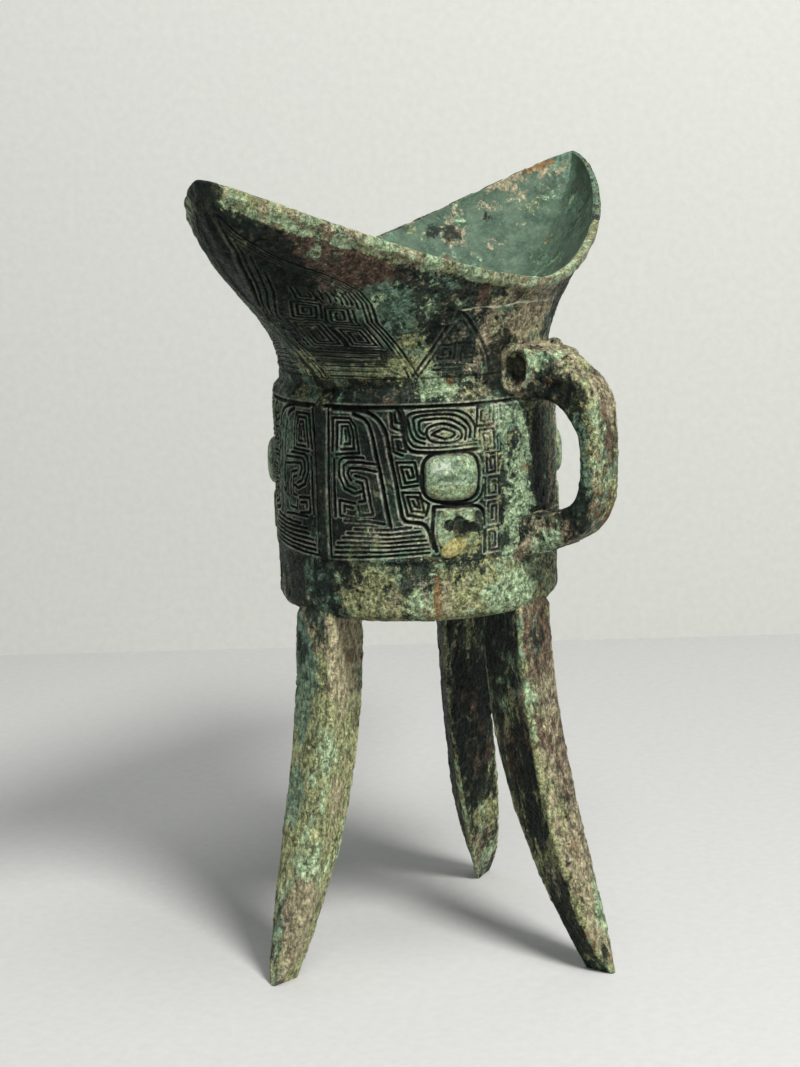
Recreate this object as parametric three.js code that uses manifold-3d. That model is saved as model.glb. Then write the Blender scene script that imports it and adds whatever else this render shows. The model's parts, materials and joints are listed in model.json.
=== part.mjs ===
// A bronze jiao: a round wine cup on three blade legs, with a wing at each end of its mouth and a
// strap handle under a small ox head. Millimetres. X runs along the wings, the handle is towards -Y,
// Z is up and the feet stand on z = 0.
import * as THREE from 'three';
import { mergeVertices } from 'three/addons/utils/BufferGeometryUtils.js';
import Module from 'manifold-3d';

const wasm = await Module();
wasm.setup();

// Driving dimensions of the cup, stacked from the standing plane up
const LEG_HEIGHT = 93.8;
const PLAIN_TALL = 15.2;
const BAND_TALL = 40.3;
const NECK_TALL = 2.7;
const MOUTH_TALL = 25.5;
const WING_TALL = 27.5;
const CUP_RADIUS = 36;
const WALL = 2.6;
const BASE_CORNER = 4.6;
const BASE_SAG = 1.8;
const BASE_THICKNESS = 2.8;
const BAND_RISE = 0.5;
const NECK_PINCH = 1.7;

// Driving dimensions of the mouth and its two wings
const MOUTH_HALF_WIDTH = 41.4;
const TIP_REACH = 84;
const TIP_WALL = 4.2;
const LIP_RISE = 0.6;
const LIP_SHARE = 0.94;

// How the mouth spreads: the rim's plan and rise, and the curve of the wall below it
const PLAN_POWER = 1.58;
const PLAN_FULLNESS = 0.75;
const WING_SPREAD = 1.08;
const WING_START = 1.47;
const WING_END = 2.23;
const SIDE_START = 4.3;
const SIDE_END = 1.25;
const WING_SHARE = 0.75;

// Driving dimensions of the raised ornament. The eyes' angles are from the middle of the mask over the
// handle and of the one behind, and each rib stands off its wing's line, towards the back.
const EYE_ANGLE = 42.7;
const BACK_EYE_ANGLE = 32.1;
const RIB_TURN = 5.2;
const EYE_LEVEL = 21;
const EYE_WIDTH = 13;
const EYE_TALL = 10.6;
const EYE_RISE = 2;
const RIB_WIDTH = 2.6;
const RIB_RISE = 0.9;

// Driving dimensions of the legs
const LEG_WIDTH = 15;
const LEG_PROUD = 0.4;
const LEG_DEPTH = 17;
const LEG_BEND = 1.72;
const RIDGE_BEND = 2.25;
const LEG_ROUND = 1.2;
const FOOT_TAPER = 11;
const FOOT_TIP = 1.5;
const HANDLE_LEG_SPLAY = 20.8;
const SIDE_LEG_SPLAY = 16.8;
const RIDGE_SPLAY = 8.6;
const SIDE_LEG_ANGLE = 105;
const LEG_ROOT_RISE = 2;
const CORE_DEPTH = 34;
const CORE_WALL = 2.9;
const RIDGE_INSET = 1.9;
const SIDE_INSET = 1.2;

// Driving dimensions of the handle; its reach is from the cup's axis outwards
const HANDLE_WIDTH = 12.5;
const HANDLE_REACH = 57.3;
const HANDLE_THICKNESS = 4.7;
const GAP_LEVEL = 9.4;
const GAP_TALL = 29.3;
const UPPER_ARM_TALL = 11.9;
const LOWER_ARM_TALL = 10.8;
const HANDLE_BEVEL = 1.1;
const HEAD_LENGTH = 13;
const HEAD_WIDTH = 11;
const HORN_RADIUS = 2.7;
const HORN_ROUND = 1.15;
const POCKET_WIDTH = 6.4;
const POCKET_TALL = 4.4;
const POCKET_DEPTH = 9;

// Driving dimensions of the stubs and spacers, and the space between pieces that touch
const STUB_LENGTH = 5;
const STUB_SINK = 0.8;
const HANDLE_STUB_LENGTH = 2;
const SPACER_SIZE = 5;
const BASE_SPACER_RADIUS = 19;
const WALL_SPACER_LEVEL = 8.2;
const CLEARANCE = 0.3;

// Heights and radii that follow from the driving dimensions
const BAND_BOTTOM = LEG_HEIGHT + PLAIN_TALL;
const BAND_TOP = BAND_BOTTOM + BAND_TALL;
const NECK_HEIGHT = BAND_TOP + NECK_TALL;
const MOUTH_HEIGHT = NECK_HEIGHT + MOUTH_TALL;
const TIP_HEIGHT = MOUTH_HEIGHT + WING_TALL;
const NECK_RADIUS = CUP_RADIUS - NECK_PINCH;
const GAP_BOTTOM = BAND_BOTTOM + GAP_LEVEL;
const GAP_TOP = GAP_BOTTOM + GAP_TALL;
const HANDLE_TOP = GAP_TOP + UPPER_ARM_TALL;
const HANDLE_BOTTOM = GAP_BOTTOM - LOWER_ARM_TALL;
const LEG_FACE = CUP_RADIUS + LEG_PROUD;
const LEG_RIDGE = LEG_FACE - LEG_DEPTH;

const CUP_SEGMENTS = 64;
const SIDE_AZIMUTH = -90 + SIDE_LEG_ANGLE;
const at = (x, y) => new THREE.Vector2(x, y);

// Solids: closed geometry becomes a solid for cutting and joining, and goes back to geometry
function solidOf(geometry) {
  const bare = geometry.clone();
  bare.deleteAttribute('normal');
  bare.deleteAttribute('uv');
  const merged = mergeVertices(bare, 1e-4);
  const points = merged.attributes.position;
  const index = Array.from(merged.index.array);
  const corners = [0, 1, 2].map(() => new THREE.Vector3());
  let volume = 0;
  for (let i = 0; i < index.length; i += 3) {
    corners.forEach((corner, k) => corner.fromBufferAttribute(points, index[i + k]));
    volume += corners[0].dot(corners[1].cross(corners[2]));
  }
  if (volume < 0) index.reverse();
  const mesh = new wasm.Mesh({
    numProp: 3,
    vertProperties: new Float32Array(points.array),
    triVerts: new Uint32Array(index),
  });
  return new wasm.Manifold(mesh);
}

function geometryOf(solid) {
  const mesh = solid.getMesh();
  const geometry = new THREE.BufferGeometry();
  geometry.setAttribute('position', new THREE.BufferAttribute(mesh.vertProperties, 3));
  geometry.setIndex(new THREE.BufferAttribute(mesh.triVerts, 1));
  geometry.computeVertexNormals();
  return geometry;
}

// A solid through a row of closed rings, each with the same number of points, capped at both ends
function loft(rings) {
  const count = rings[0].length;
  const points = rings.flat();
  const index = [];
  for (let ring = 0; ring + 1 < rings.length; ring += 1) {
    for (let i = 0; i < count; i += 1) {
      const a = ring * count + i;
      const b = ring * count + ((i + 1) % count);
      index.push(a, b, a + count, b, b + count, a + count);
    }
  }
  const last = (rings.length - 1) * count;
  for (let i = 1; i + 1 < count; i += 1) {
    index.push(0, i + 1, i, last, last + i, last + i + 1);
  }
  const geometry = new THREE.BufferGeometry().setFromPoints(points);
  geometry.setIndex(index);
  return solidOf(geometry);
}

function box(width, depth, height, x, y, z) {
  return solidOf(new THREE.BoxGeometry(width, depth, height).translate(x, y, z));
}

function around(solid, degrees) {
  return solid.rotate([0, 0, degrees]);
}

// The cup's wall above the neck: a point at this depth behind the outer face, on this azimuth, at this
// share of the way from neck to rim
function mouthPoint(azimuth, depth, share) {
  const along = Math.abs(Math.cos(azimuth));
  const outwards = along ** WING_SPREAD;
  const setBack = depth + LIP_RISE;
  const reach = TIP_REACH - (setBack * TIP_WALL) / WALL;
  const full = (1 - outwards ** PLAN_POWER) ** PLAN_FULLNESS;
  const rimX = Math.sign(Math.cos(azimuth)) * reach * outwards;
  const rimY = Math.sign(Math.sin(azimuth)) * (MOUTH_HALF_WIDTH - setBack) * full;
  const rimZ = MOUTH_HEIGHT + (TIP_HEIGHT - MOUTH_HEIGHT) * outwards ** PLAN_POWER;
  const wing = along ** WING_SHARE;
  const start = SIDE_START + (WING_START - SIDE_START) * wing;
  const end = SIDE_END + (WING_END - SIDE_END) * wing;
  const spread = 1 - (1 - share ** start) ** end;
  const neck = NECK_RADIUS - depth;
  return new THREE.Vector3(
    THREE.MathUtils.lerp(neck * Math.cos(azimuth), rimX, spread),
    THREE.MathUtils.lerp(neck * Math.sin(azimuth), rimY, spread),
    THREE.MathUtils.lerp(NECK_HEIGHT, rimZ, share),
  );
}

// The cup as a turned shape. Above the neck its profile is straight, and each point then moves to its
// place on the spread wall.
const MOUTH_SHARES = [0.12, 0.24, 0.36, 0.48, 0.6, 0.72, 0.83, LIP_SHARE];

function baseCorner(radius, height, corner, steps) {
  const points = [];
  for (let i = 0; i <= steps; i += 1) {
    const turn = (Math.PI / 2) * (i / steps);
    points.push(at(radius - corner + corner * Math.sin(turn), height + corner - corner * Math.cos(turn)));
  }
  return points;
}

function lowerProfile(depth) {
  const radius = CUP_RADIUS - depth;
  const floor = LEG_HEIGHT + (depth > 0 ? BASE_THICKNESS : 0);
  const corner = BASE_CORNER - depth * 0.6;
  const rise = depth > 0 ? 0 : BAND_RISE;
  const neck = NECK_RADIUS - depth;
  return [
    at(0, floor - BASE_SAG),
    at(radius * 0.45, floor - BASE_SAG * 0.8),
    ...baseCorner(radius, floor, corner, 4),
    at(radius, BAND_BOTTOM - 0.6),
    at(radius + rise, BAND_BOTTOM + 0.4),
    at(radius + rise, (BAND_BOTTOM + BAND_TOP) / 2),
    at(radius + rise - 0.3, BAND_TOP - 0.4),
    at(radius - 0.8, BAND_TOP + 0.8),
    at(neck, NECK_HEIGHT),
  ];
}

function cupGeometry(depthInside) {
  const outside = lowerProfile(0);
  const inside = depthInside > 0 ? lowerProfile(depthInside) : [];
  const unit = MOUTH_HEIGHT - NECK_HEIGHT;
  const place = (depth, share) => at(NECK_RADIUS - depth, NECK_HEIGHT + unit * share);
  const straight = (depth) => MOUTH_SHARES.map((share) => place(depth, share));
  const lip = [place(-LIP_RISE, (1 + LIP_SHARE) / 2), place(-LIP_RISE, 1)];
  const profile = [...outside, ...straight(0), ...lip];
  if (depthInside > 0) {
    profile.push(place(depthInside, 1), ...straight(depthInside).reverse(), ...inside.reverse());
  } else {
    profile.push(at(0, MOUTH_HEIGHT));
  }
  const geometry = new THREE.LatheGeometry(profile, CUP_SEGMENTS);
  geometry.rotateX(Math.PI / 2);
  const points = geometry.attributes.position;
  for (let i = 0; i < points.count; i += 1) {
    const share = (points.getZ(i) - NECK_HEIGHT) / unit;
    const radius = Math.hypot(points.getX(i), points.getY(i));
    if (share > 0.001 && radius > 0) {
      const azimuth = Math.atan2(points.getY(i), points.getX(i));
      const place = mouthPoint(azimuth, NECK_RADIUS - radius, Math.min(share, 1));
      points.setXYZ(i, place.x, place.y, place.z);
    }
  }
  return geometry;
}

// The raised ornament: four eye bosses, and a plain rib under each wing
function eyeSolid() {
  const shape = new THREE.Shape();
  const corner = EYE_WIDTH * 0.32;
  const w = EYE_WIDTH / 2;
  const h = EYE_TALL / 2;
  shape.moveTo(w - corner, -h).absarc(w - corner, corner - h, corner, -Math.PI / 2, 0, false);
  shape.absarc(w - corner, h - corner, corner, 0, Math.PI / 2, false);
  shape.absarc(corner - w, h - corner, corner, Math.PI / 2, Math.PI, false);
  shape.absarc(corner - w, corner - h, corner, Math.PI, 1.5 * Math.PI, false);
  const bevel = EYE_RISE;
  const face = CUP_RADIUS + EYE_RISE;
  const geometry = new THREE.ExtrudeGeometry(shape, {
    depth: WALL / 2,
    curveSegments: 3,
    bevelSize: bevel,
    bevelThickness: bevel,
    bevelOffset: -bevel,
    bevelSegments: 2,
  });
  geometry.rotateX(Math.PI / 2).rotateZ(Math.PI / 2);
  geometry.translate(face - WALL / 2 - bevel, 0, BAND_BOTTOM + EYE_LEVEL);
  return solidOf(geometry);
}

function ribSolid() {
  const face = CUP_RADIUS + BAND_RISE + RIB_RISE;
  return box(WALL, RIB_WIDTH, BAND_TOP - BAND_BOTTOM, face - WALL / 2, 0, (BAND_TOP + BAND_BOTTOM) / 2);
}

// Legs: a three-sided blade with its flat face outwards and its ridge towards the axis. Values inset
// the section on every side, for the hollow inside.
function legRing(height, splay, inset) {
  const bend = Math.max(0, (LEG_HEIGHT - height) / LEG_HEIGHT);
  const face = LEG_FACE + splay * bend ** LEG_BEND - inset;
  const ridgeReach = splay + RIDGE_SPLAY;
  const ridge = LEG_RIDGE + ridgeReach * bend ** RIDGE_BEND + inset * RIDGE_INSET;
  const taper = 1 - Math.exp(-(height + FOOT_TIP) / FOOT_TAPER);
  const half = (LEG_WIDTH / 2) * taper - inset * SIDE_INSET;
  const round = Math.min(LEG_ROUND, half * 0.3);
  const outline = [
    [face, 0],
    [face - 0.2 * round, half * 0.6],
    [face - round, half],
    [face - 2.2 * round, half * 0.96],
    [ridge + 0.5 * round, round * 0.7],
    [ridge, 0],
    [ridge + 0.5 * round, -round * 0.7],
    [face - 2.2 * round, -half * 0.96],
    [face - round, -half],
    [face - 0.2 * round, -half * 0.6],
  ];
  return outline.map(([x, y]) => new THREE.Vector3(x, y, height));
}

const LEG_STATIONS = [0.016, 0.043, 0.085, 0.15, 0.235, 0.34, 0.47, 0.6, 0.725, 0.85, 0.96];

function legSolid(splay, inset, bottom, top) {
  const heights = LEG_STATIONS.map((share) => share * LEG_HEIGHT);
  const inside = heights.filter((height) => height > bottom + 1 && height < top - 1);
  return loft([bottom, ...inside, top].map((height) => legRing(height, splay, inset)));
}

const LEGS = [
  { name: 'leg_handle_side', azimuth: -90, splay: HANDLE_LEG_SPLAY },
  { name: 'leg_left', azimuth: -90 - SIDE_LEG_ANGLE, splay: SIDE_LEG_SPLAY },
  { name: 'leg_right', azimuth: -90 + SIDE_LEG_ANGLE, splay: SIDE_LEG_SPLAY },
];
const LEG_TOP = LEG_HEIGHT + LEG_ROOT_RISE;
const CORE_BOTTOM = LEG_HEIGHT - STUB_LENGTH - CORE_DEPTH;
const CORE_TOP = LEG_HEIGHT - BASE_SAG - STUB_LENGTH;

// Handle: a strap loop in the plane of the cup's axis
function handleShape() {
  const reach = HANDLE_REACH;
  const grip = HANDLE_REACH - HANDLE_THICKNESS;
  const middle = (GAP_TOP + GAP_BOTTOM) / 2;
  const inwards = NECK_RADIUS - WALL;
  const outline = new THREE.Shape();
  outline.moveTo(inwards, HANDLE_TOP);
  outline.lineTo(CUP_RADIUS + 2, HANDLE_TOP);
  outline.bezierCurveTo(reach - 9, HANDLE_TOP - 3, reach - 1.5, HANDLE_TOP - 9, reach - 0.6, GAP_TOP - 4);
  outline.bezierCurveTo(reach, middle + 6, reach, middle - 2, reach - 1, GAP_BOTTOM + 4);
  outline.bezierCurveTo(reach - 3, GAP_BOTTOM - 4, reach - 8, HANDLE_BOTTOM + 2, reach - 16, HANDLE_BOTTOM + 0.8);
  outline.lineTo(inwards, HANDLE_BOTTOM - 0.8);
  outline.lineTo(inwards, GAP_BOTTOM - 1.2);
  outline.lineTo(CUP_RADIUS + 4, GAP_BOTTOM);
  outline.bezierCurveTo(grip - 3, GAP_BOTTOM + 2, grip - 1.5, GAP_BOTTOM + 4, grip - 0.4, middle - 5);
  outline.bezierCurveTo(grip + 0.2, middle, grip, middle + 6, grip - 1.6, GAP_TOP - 7);
  outline.bezierCurveTo(grip - 4, GAP_TOP - 2, grip - 8, GAP_TOP, CUP_RADIUS + 3, GAP_TOP);
  outline.lineTo(inwards, GAP_TOP);
  outline.closePath();
  return outline;
}

function handleBlank() {
  const depth = HANDLE_WIDTH - 2 * HANDLE_BEVEL;
  const geometry = new THREE.ExtrudeGeometry(handleShape(), {
    depth,
    curveSegments: 7,
    bevelSize: HANDLE_BEVEL,
    bevelThickness: HANDLE_BEVEL,
    bevelOffset: -HANDLE_BEVEL,
    bevelSegments: 1,
  });
  geometry.translate(0, 0, -depth / 2);
  geometry.rotateX(Math.PI / 2).rotateZ(-Math.PI / 2);
  return solidOf(geometry);
}

// The ox head on the handle's upper root: a skull, a muzzle and two rolled horns
function headSolid() {
  const nose = CUP_RADIUS + HEAD_LENGTH;
  const skull = new THREE.SphereGeometry(1, 14, 10).scale(HEAD_WIDTH / 2, 5.4, 5.2);
  skull.translate(0, -(nose - HEAD_LENGTH * 0.62), HANDLE_TOP - 2.6);
  const muzzle = new THREE.SphereGeometry(1, 12, 8).scale(HEAD_WIDTH * 0.34, 4.6, 3.6);
  muzzle.translate(0, -(nose - HEAD_LENGTH * 0.22), HANDLE_TOP - 5.2);
  let head = solidOf(skull).add(solidOf(muzzle));
  for (const side of [-1, 1]) {
    const horn = new THREE.TorusGeometry(HORN_RADIUS, HORN_ROUND, 6, 14).rotateY(Math.PI / 2);
    horn.translate(side * (HEAD_WIDTH / 2 - 0.2), -(nose - HEAD_LENGTH * 0.72), HANDLE_TOP - 0.9);
    head = head.add(solidOf(horn));
  }
  return head;
}

// Pockets in the handle's two arms, where clay from casting stays; clear widens them for a neighbour
const ARMS = [
  { name: 'handle_core_upper', height: GAP_TOP + UPPER_ARM_TALL * 0.36, wall: NECK_RADIUS },
  { name: 'handle_core_lower', height: GAP_BOTTOM - LOWER_ARM_TALL / 2, wall: CUP_RADIUS },
];

function pocketSolid(height, inner, outer, clear) {
  const middle = -(inner + outer) / 2;
  return box(POCKET_WIDTH + 2 * clear, outer - inner, POCKET_TALL + 2 * clear, 0, middle, height);
}

// Spacers that held the mould's core off its outer blocks, one square sheet of bronze in each window
function spacerTool(azimuth, inWall, clear) {
  const size = SPACER_SIZE + 2 * clear;
  const tool = inWall
    ? box(WALL * 4, size, size, CUP_RADIUS, 0, LEG_HEIGHT + WALL_SPACER_LEVEL)
    : box(size, size, BASE_THICKNESS * 6, BASE_SPACER_RADIUS, 0, LEG_HEIGHT);
  return around(tool, azimuth);
}

const SPACER_AZIMUTHS = [90, (SIDE_AZIMUTH - 90) / 2, 180 - (SIDE_AZIMUTH - 90) / 2];
const SPACERS = SPACER_AZIMUTHS.flatMap((azimuth, i) => [
  { name: `base_spacer_${i + 1}`, azimuth, inWall: false },
  { name: `wall_spacer_${i + 1}`, azimuth, inWall: true },
]);

// Materials
const bronze = new THREE.MeshStandardMaterial({ color: 0x3d4a3c, roughness: 0.72, metalness: 0.45 });
const legBronze = new THREE.MeshStandardMaterial({ color: 0x5a5a3f, roughness: 0.78, metalness: 0.4 });
const clay = new THREE.MeshStandardMaterial({ color: 0x6f5a48, roughness: 0.95, metalness: 0 });
const spacerBronze = new THREE.MeshStandardMaterial({ color: 0x6d6a45, roughness: 0.7, metalness: 0.5 });

const object = new THREE.Group();

function add(name, solid, material) {
  const mesh = new THREE.Mesh(geometryOf(solid), material);
  mesh.name = name;
  object.add(mesh);
}

// The cup with its ornament and stubs, cut by the spacers' windows
const shell = solidOf(cupGeometry(WALL));
const envelope = solidOf(cupGeometry(0));
let cup = shell;
for (const side of [-1, 1]) {
  cup = cup.add(around(ribSolid(), 90 - side * (90 - RIB_TURN)));
  cup = cup.add(around(eyeSolid(), -90 + side * EYE_ANGLE));
  cup = cup.add(around(eyeSolid(), 90 - side * BACK_EYE_ANGLE));
}
const plainCup = cup;

// The space that a neighbour keeps off the cup: its outside, swept by the clearance each way
function clearOfCup(solid) {
  let rest = solid;
  for (const [x, y, z] of [[1, 0, 0], [-1, 0, 0], [0, 1, 0], [0, -1, 0], [0, 0, 1], [0, 0, -1]]) {
    rest = rest.subtract(envelope.translate([x * CLEARANCE, y * CLEARANCE, z * CLEARANCE]));
  }
  return rest;
}

for (const leg of LEGS) {
  const hollow = around(legSolid(leg.splay, CORE_WALL, CORE_BOTTOM, LEG_TOP + 6), leg.azimuth);
  const core = around(legSolid(leg.splay, CORE_WALL + CLEARANCE, CORE_BOTTOM + CLEARANCE, CORE_TOP), leg.azimuth);
  const stubBottom = CORE_TOP + CLEARANCE;
  const stub = legSolid(leg.splay, CORE_WALL + CLEARANCE, stubBottom, LEG_HEIGHT + STUB_SINK);
  const blank = around(legSolid(leg.splay, 0, 0, LEG_TOP), leg.azimuth);
  const body = clearOfCup(blank).subtract(hollow);
  cup = cup.add(around(stub, leg.azimuth));
  add(leg.name, body, legBronze);
  add(leg.name.replace('leg', 'leg_core'), core, clay);
}

const handleRoom = CUP_RADIUS + HANDLE_STUB_LENGTH + CLEARANCE;
let handle = clearOfCup(handleBlank().add(headSolid()));
for (const arm of ARMS) {
  const outer = handleRoom + POCKET_DEPTH;
  handle = handle.subtract(pocketSolid(arm.height, NECK_RADIUS - WALL, outer, 0));
  const stub = pocketSolid(arm.height, arm.wall - WALL / 2, handleRoom - CLEARANCE, -CLEARANCE);
  cup = cup.add(stub);
  add(arm.name, pocketSolid(arm.height, handleRoom, outer - CLEARANCE, -CLEARANCE), clay);
}
add('handle', handle, bronze);

for (const spacer of SPACERS) {
  add(spacer.name, plainCup.intersect(spacerTool(spacer.azimuth, spacer.inWall, 0)), spacerBronze);
  cup = cup.subtract(spacerTool(spacer.azimuth, spacer.inWall, CLEARANCE));
}
add('cup', cup, bronze);

// The origin is under the middle of the whole object, so everything moves along Y together
const reach = new THREE.Box3().setFromObject(object);
object.position.y = -(reach.min.y + reach.max.y) / 2;

export default object;
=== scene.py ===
"""The looks of a bronze jiao: cast relief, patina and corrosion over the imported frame. Blender works in
metres; the shape functions here work in millimetres about the cup's axis."""
import json
import math

import bpy
import numpy as np
from mathutils import Matrix, Vector

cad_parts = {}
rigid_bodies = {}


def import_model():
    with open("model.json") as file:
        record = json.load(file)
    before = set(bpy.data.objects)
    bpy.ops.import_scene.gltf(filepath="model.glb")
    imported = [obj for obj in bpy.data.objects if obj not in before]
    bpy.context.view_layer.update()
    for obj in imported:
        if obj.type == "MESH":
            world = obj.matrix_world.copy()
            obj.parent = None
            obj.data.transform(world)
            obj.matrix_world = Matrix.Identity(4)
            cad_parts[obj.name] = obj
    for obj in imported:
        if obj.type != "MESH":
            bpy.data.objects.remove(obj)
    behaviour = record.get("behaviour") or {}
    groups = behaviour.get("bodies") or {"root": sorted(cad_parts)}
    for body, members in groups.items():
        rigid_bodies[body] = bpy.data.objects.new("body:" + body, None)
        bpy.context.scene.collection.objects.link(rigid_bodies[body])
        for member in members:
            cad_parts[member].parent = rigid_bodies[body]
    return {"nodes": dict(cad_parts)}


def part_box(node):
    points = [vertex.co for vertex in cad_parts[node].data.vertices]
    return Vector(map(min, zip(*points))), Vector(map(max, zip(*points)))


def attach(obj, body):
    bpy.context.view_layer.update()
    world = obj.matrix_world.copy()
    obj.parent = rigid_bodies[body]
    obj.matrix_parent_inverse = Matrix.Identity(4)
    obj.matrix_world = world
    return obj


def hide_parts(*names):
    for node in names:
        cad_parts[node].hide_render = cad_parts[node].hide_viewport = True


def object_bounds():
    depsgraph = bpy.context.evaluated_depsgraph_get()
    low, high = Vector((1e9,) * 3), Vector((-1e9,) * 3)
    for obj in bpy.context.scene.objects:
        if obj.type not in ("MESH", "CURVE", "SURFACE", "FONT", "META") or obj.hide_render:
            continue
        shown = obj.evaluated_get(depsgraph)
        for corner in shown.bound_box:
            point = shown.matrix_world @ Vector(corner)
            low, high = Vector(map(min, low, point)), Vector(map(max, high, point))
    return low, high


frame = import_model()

cad_low, cad_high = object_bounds()
MM = 0.001
INSIDE_BOX = 0.02 * MM
SEED = 7


# Sizes that the frame gives
def box_mm(node):
    low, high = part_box(node)
    return np.array(low) / MM, np.array(high) / MM


cup_low, cup_high = box_mm("cup")
AXIS_Y = (cup_low[1] + cup_high[1]) / 2
TIP_REACH = cup_high[0]
TIP_HEIGHT = cup_high[2]
MOUTH_HALF_WIDTH = (cup_high[1] - cup_low[1]) / 2
HANDLE_REACH = AXIS_Y - box_mm("handle")[0][1]

# Sizes of the cup, stacked from the standing plane up
LEG_HEIGHT = 93.8
BAND_BOTTOM = LEG_HEIGHT + 15.2
BAND_TALL = 40.3
BAND_TOP = BAND_BOTTOM + BAND_TALL
NECK_HEIGHT = BAND_TOP + 2.7
MOUTH_HEIGHT = NECK_HEIGHT + 25.5
CUP_RADIUS = 36.0
NECK_RADIUS = CUP_RADIUS - 1.7
WALL = 2.6
BASE_CORNER = 3.6
BASE_THICKNESS = 2.8
BASE_SAG, SAG_POWER = 1.8, 2.6
TIP_WALL_SEEN = 2.0
LIP_RISE, LIP_DEPTH, LIP_CROWN = 0.6, 1.6, 0.35

# How the mouth spreads, as in the solids
PLAN_POWER, PLAN_FULLNESS = 1.58, 0.75
WING_SPREAD = 1.08
WING_START, WING_END = 1.47, 2.23
SIDE_START, SIDE_END = 4.3, 1.25
WING_SHARE = 0.75

# The legs
LEG_WIDTH = 15.0
LEG_FACE = CUP_RADIUS + 0.4
LEG_RIDGE = LEG_FACE - 17.0
LEG_BEND, RIDGE_BEND = 1.72, 2.25
FOOT_TAPER, FOOT_TIP = 11.0, 1.5
RIDGE_SPLAY = 8.6
CORE_WALL, CORE_DEPTH = 2.9, 39.0
LEGS = {"leg_handle_side": (-90.0, 20.8), "leg_left": (165.0, 16.8), "leg_right": (15.0, 16.8)}

# The handle
GAP_BOTTOM = BAND_BOTTOM + 9.4
GAP_TOP = GAP_BOTTOM + 29.3
HANDLE_TOP = GAP_TOP + 11.9
HANDLE_BOTTOM = GAP_BOTTOM - 10.8
HANDLE_HALF = 6.4
HANDLE_THICKNESS = 4.8
ROOT_REACH = 3.0

# The ornament on the band
EYE_ARC, EYE_LEVEL = 33.1, 21.1
EYE_HALF_WIDE, EYE_HALF_TALL, EYE_POWER = 6.5, 5.7, 3.2
JAW_ARC, JAW_LEVEL = 35.2, 8.3
JAW_HALF_WIDE, JAW_HALF_TALL, JAW_POWER = 6.3, 5.0, 3.8
# The end of one jaw plate is corroded away, apart from a spot about this place
LOSS_ARC, LOSS_LEVEL = 38.3, 5.2
RIB_TURN = 5.2
FRONT_QUARTER = CUP_RADIUS * math.radians(90 + RIB_TURN)
BACK_QUARTER = CUP_RADIUS * math.radians(90 - RIB_TURN)

# How far the relief stands out, and how deep its lines are cut
BAND_RISE = 0.4
EYE_RISE, JAW_RISE, RIB_RISE, NOSE_RISE, LUMP_RISE = 1.85, 0.5, 0.75, 0.9, 1.3
BEAD_RISE, KEEL_RIDGE = 0.95, 0.3
LINE_DEPTH, OUTLINE_DEPTH = 0.5, 0.75
BLADE_LINE_DEPTH, BLADE_OUTLINE_DEPTH, NECK_LINE_DEPTH, CHIP_DEPTH = 0.36, 0.55, 0.3, 0.35

FULL_TURN = 2 * math.pi


# Noise over space, so that pieces that meet carry the same marks
CELLS = 64
TABLE = np.random.default_rng(SEED).random(CELLS**3).astype(np.float32)


def noise(points, size, seed):
    """Smooth noise from 0 to 1 at points in millimetres, with features about this size."""
    place = points / size + np.array([seed * 7.31, seed * 3.77, seed * 5.13])
    low = np.floor(place).astype(np.int64)
    part = place - low
    part = part * part * (3 - 2 * part)
    near = [low[..., k] % CELLS for k in range(3)]
    far = [(low[..., k] + 1) % CELLS for k in range(3)]
    total = 0
    for corner in range(8):
        pick = [(corner >> k) & 1 for k in range(3)]
        x, y, z = (far[k] if pick[k] else near[k] for k in range(3))
        weight = 1
        for k in range(3):
            weight = weight * (part[..., k] if pick[k] else 1 - part[..., k])
        total = total + weight * TABLE[(x * CELLS + y) * CELLS + z]
    return total


def layered(points, size, seed, layers=3, gain=0.55):
    """Noise with finer and weaker copies of itself on top, from about 0.2 to 0.8."""
    total, reach, strength = 0, 0.0, 1.0
    for layer in range(layers):
        total = total + strength * noise(points, size / 2**layer, seed + 31 * layer)
        reach += strength
        strength *= gain
    return total / reach


def ease(low, high, value):
    part = np.clip((value - low) / (high - low), 0, 1)
    return part * part * (3 - 2 * part)


def blend(low, high, share):
    return low + (high - low) * share


def spin(azimuth):
    """The matrix that turns rows of points by this many degrees about the vertical axis."""
    turn = math.radians(azimuth)
    return np.array([[math.cos(turn), math.sin(turn), 0], [-math.sin(turn), math.cos(turn), 0], [0, 0, 1]])


def count(full):
    return int(full * (1.0))


def lay(marks, name, values):
    """Raises a mark to these values where it is lower."""
    marks[name] = np.maximum(marks[name], values)


def shift(marks, changes, where):
    """Adds to some kinds of patina in an area, and keeps each from 0 to 1."""
    for kind, change in changes.items():
        marks[kind] = np.clip(marks[kind] + change * where, 0, 1)


# A drawing board holds how far each place of a flat millimetre grid is from the nearest drawn line
BOARD_STEP = 0.1
BOARD_MARGIN = 2.0
BOARD_FAR = 9.0
LINE_REACH = 1.8


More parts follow.
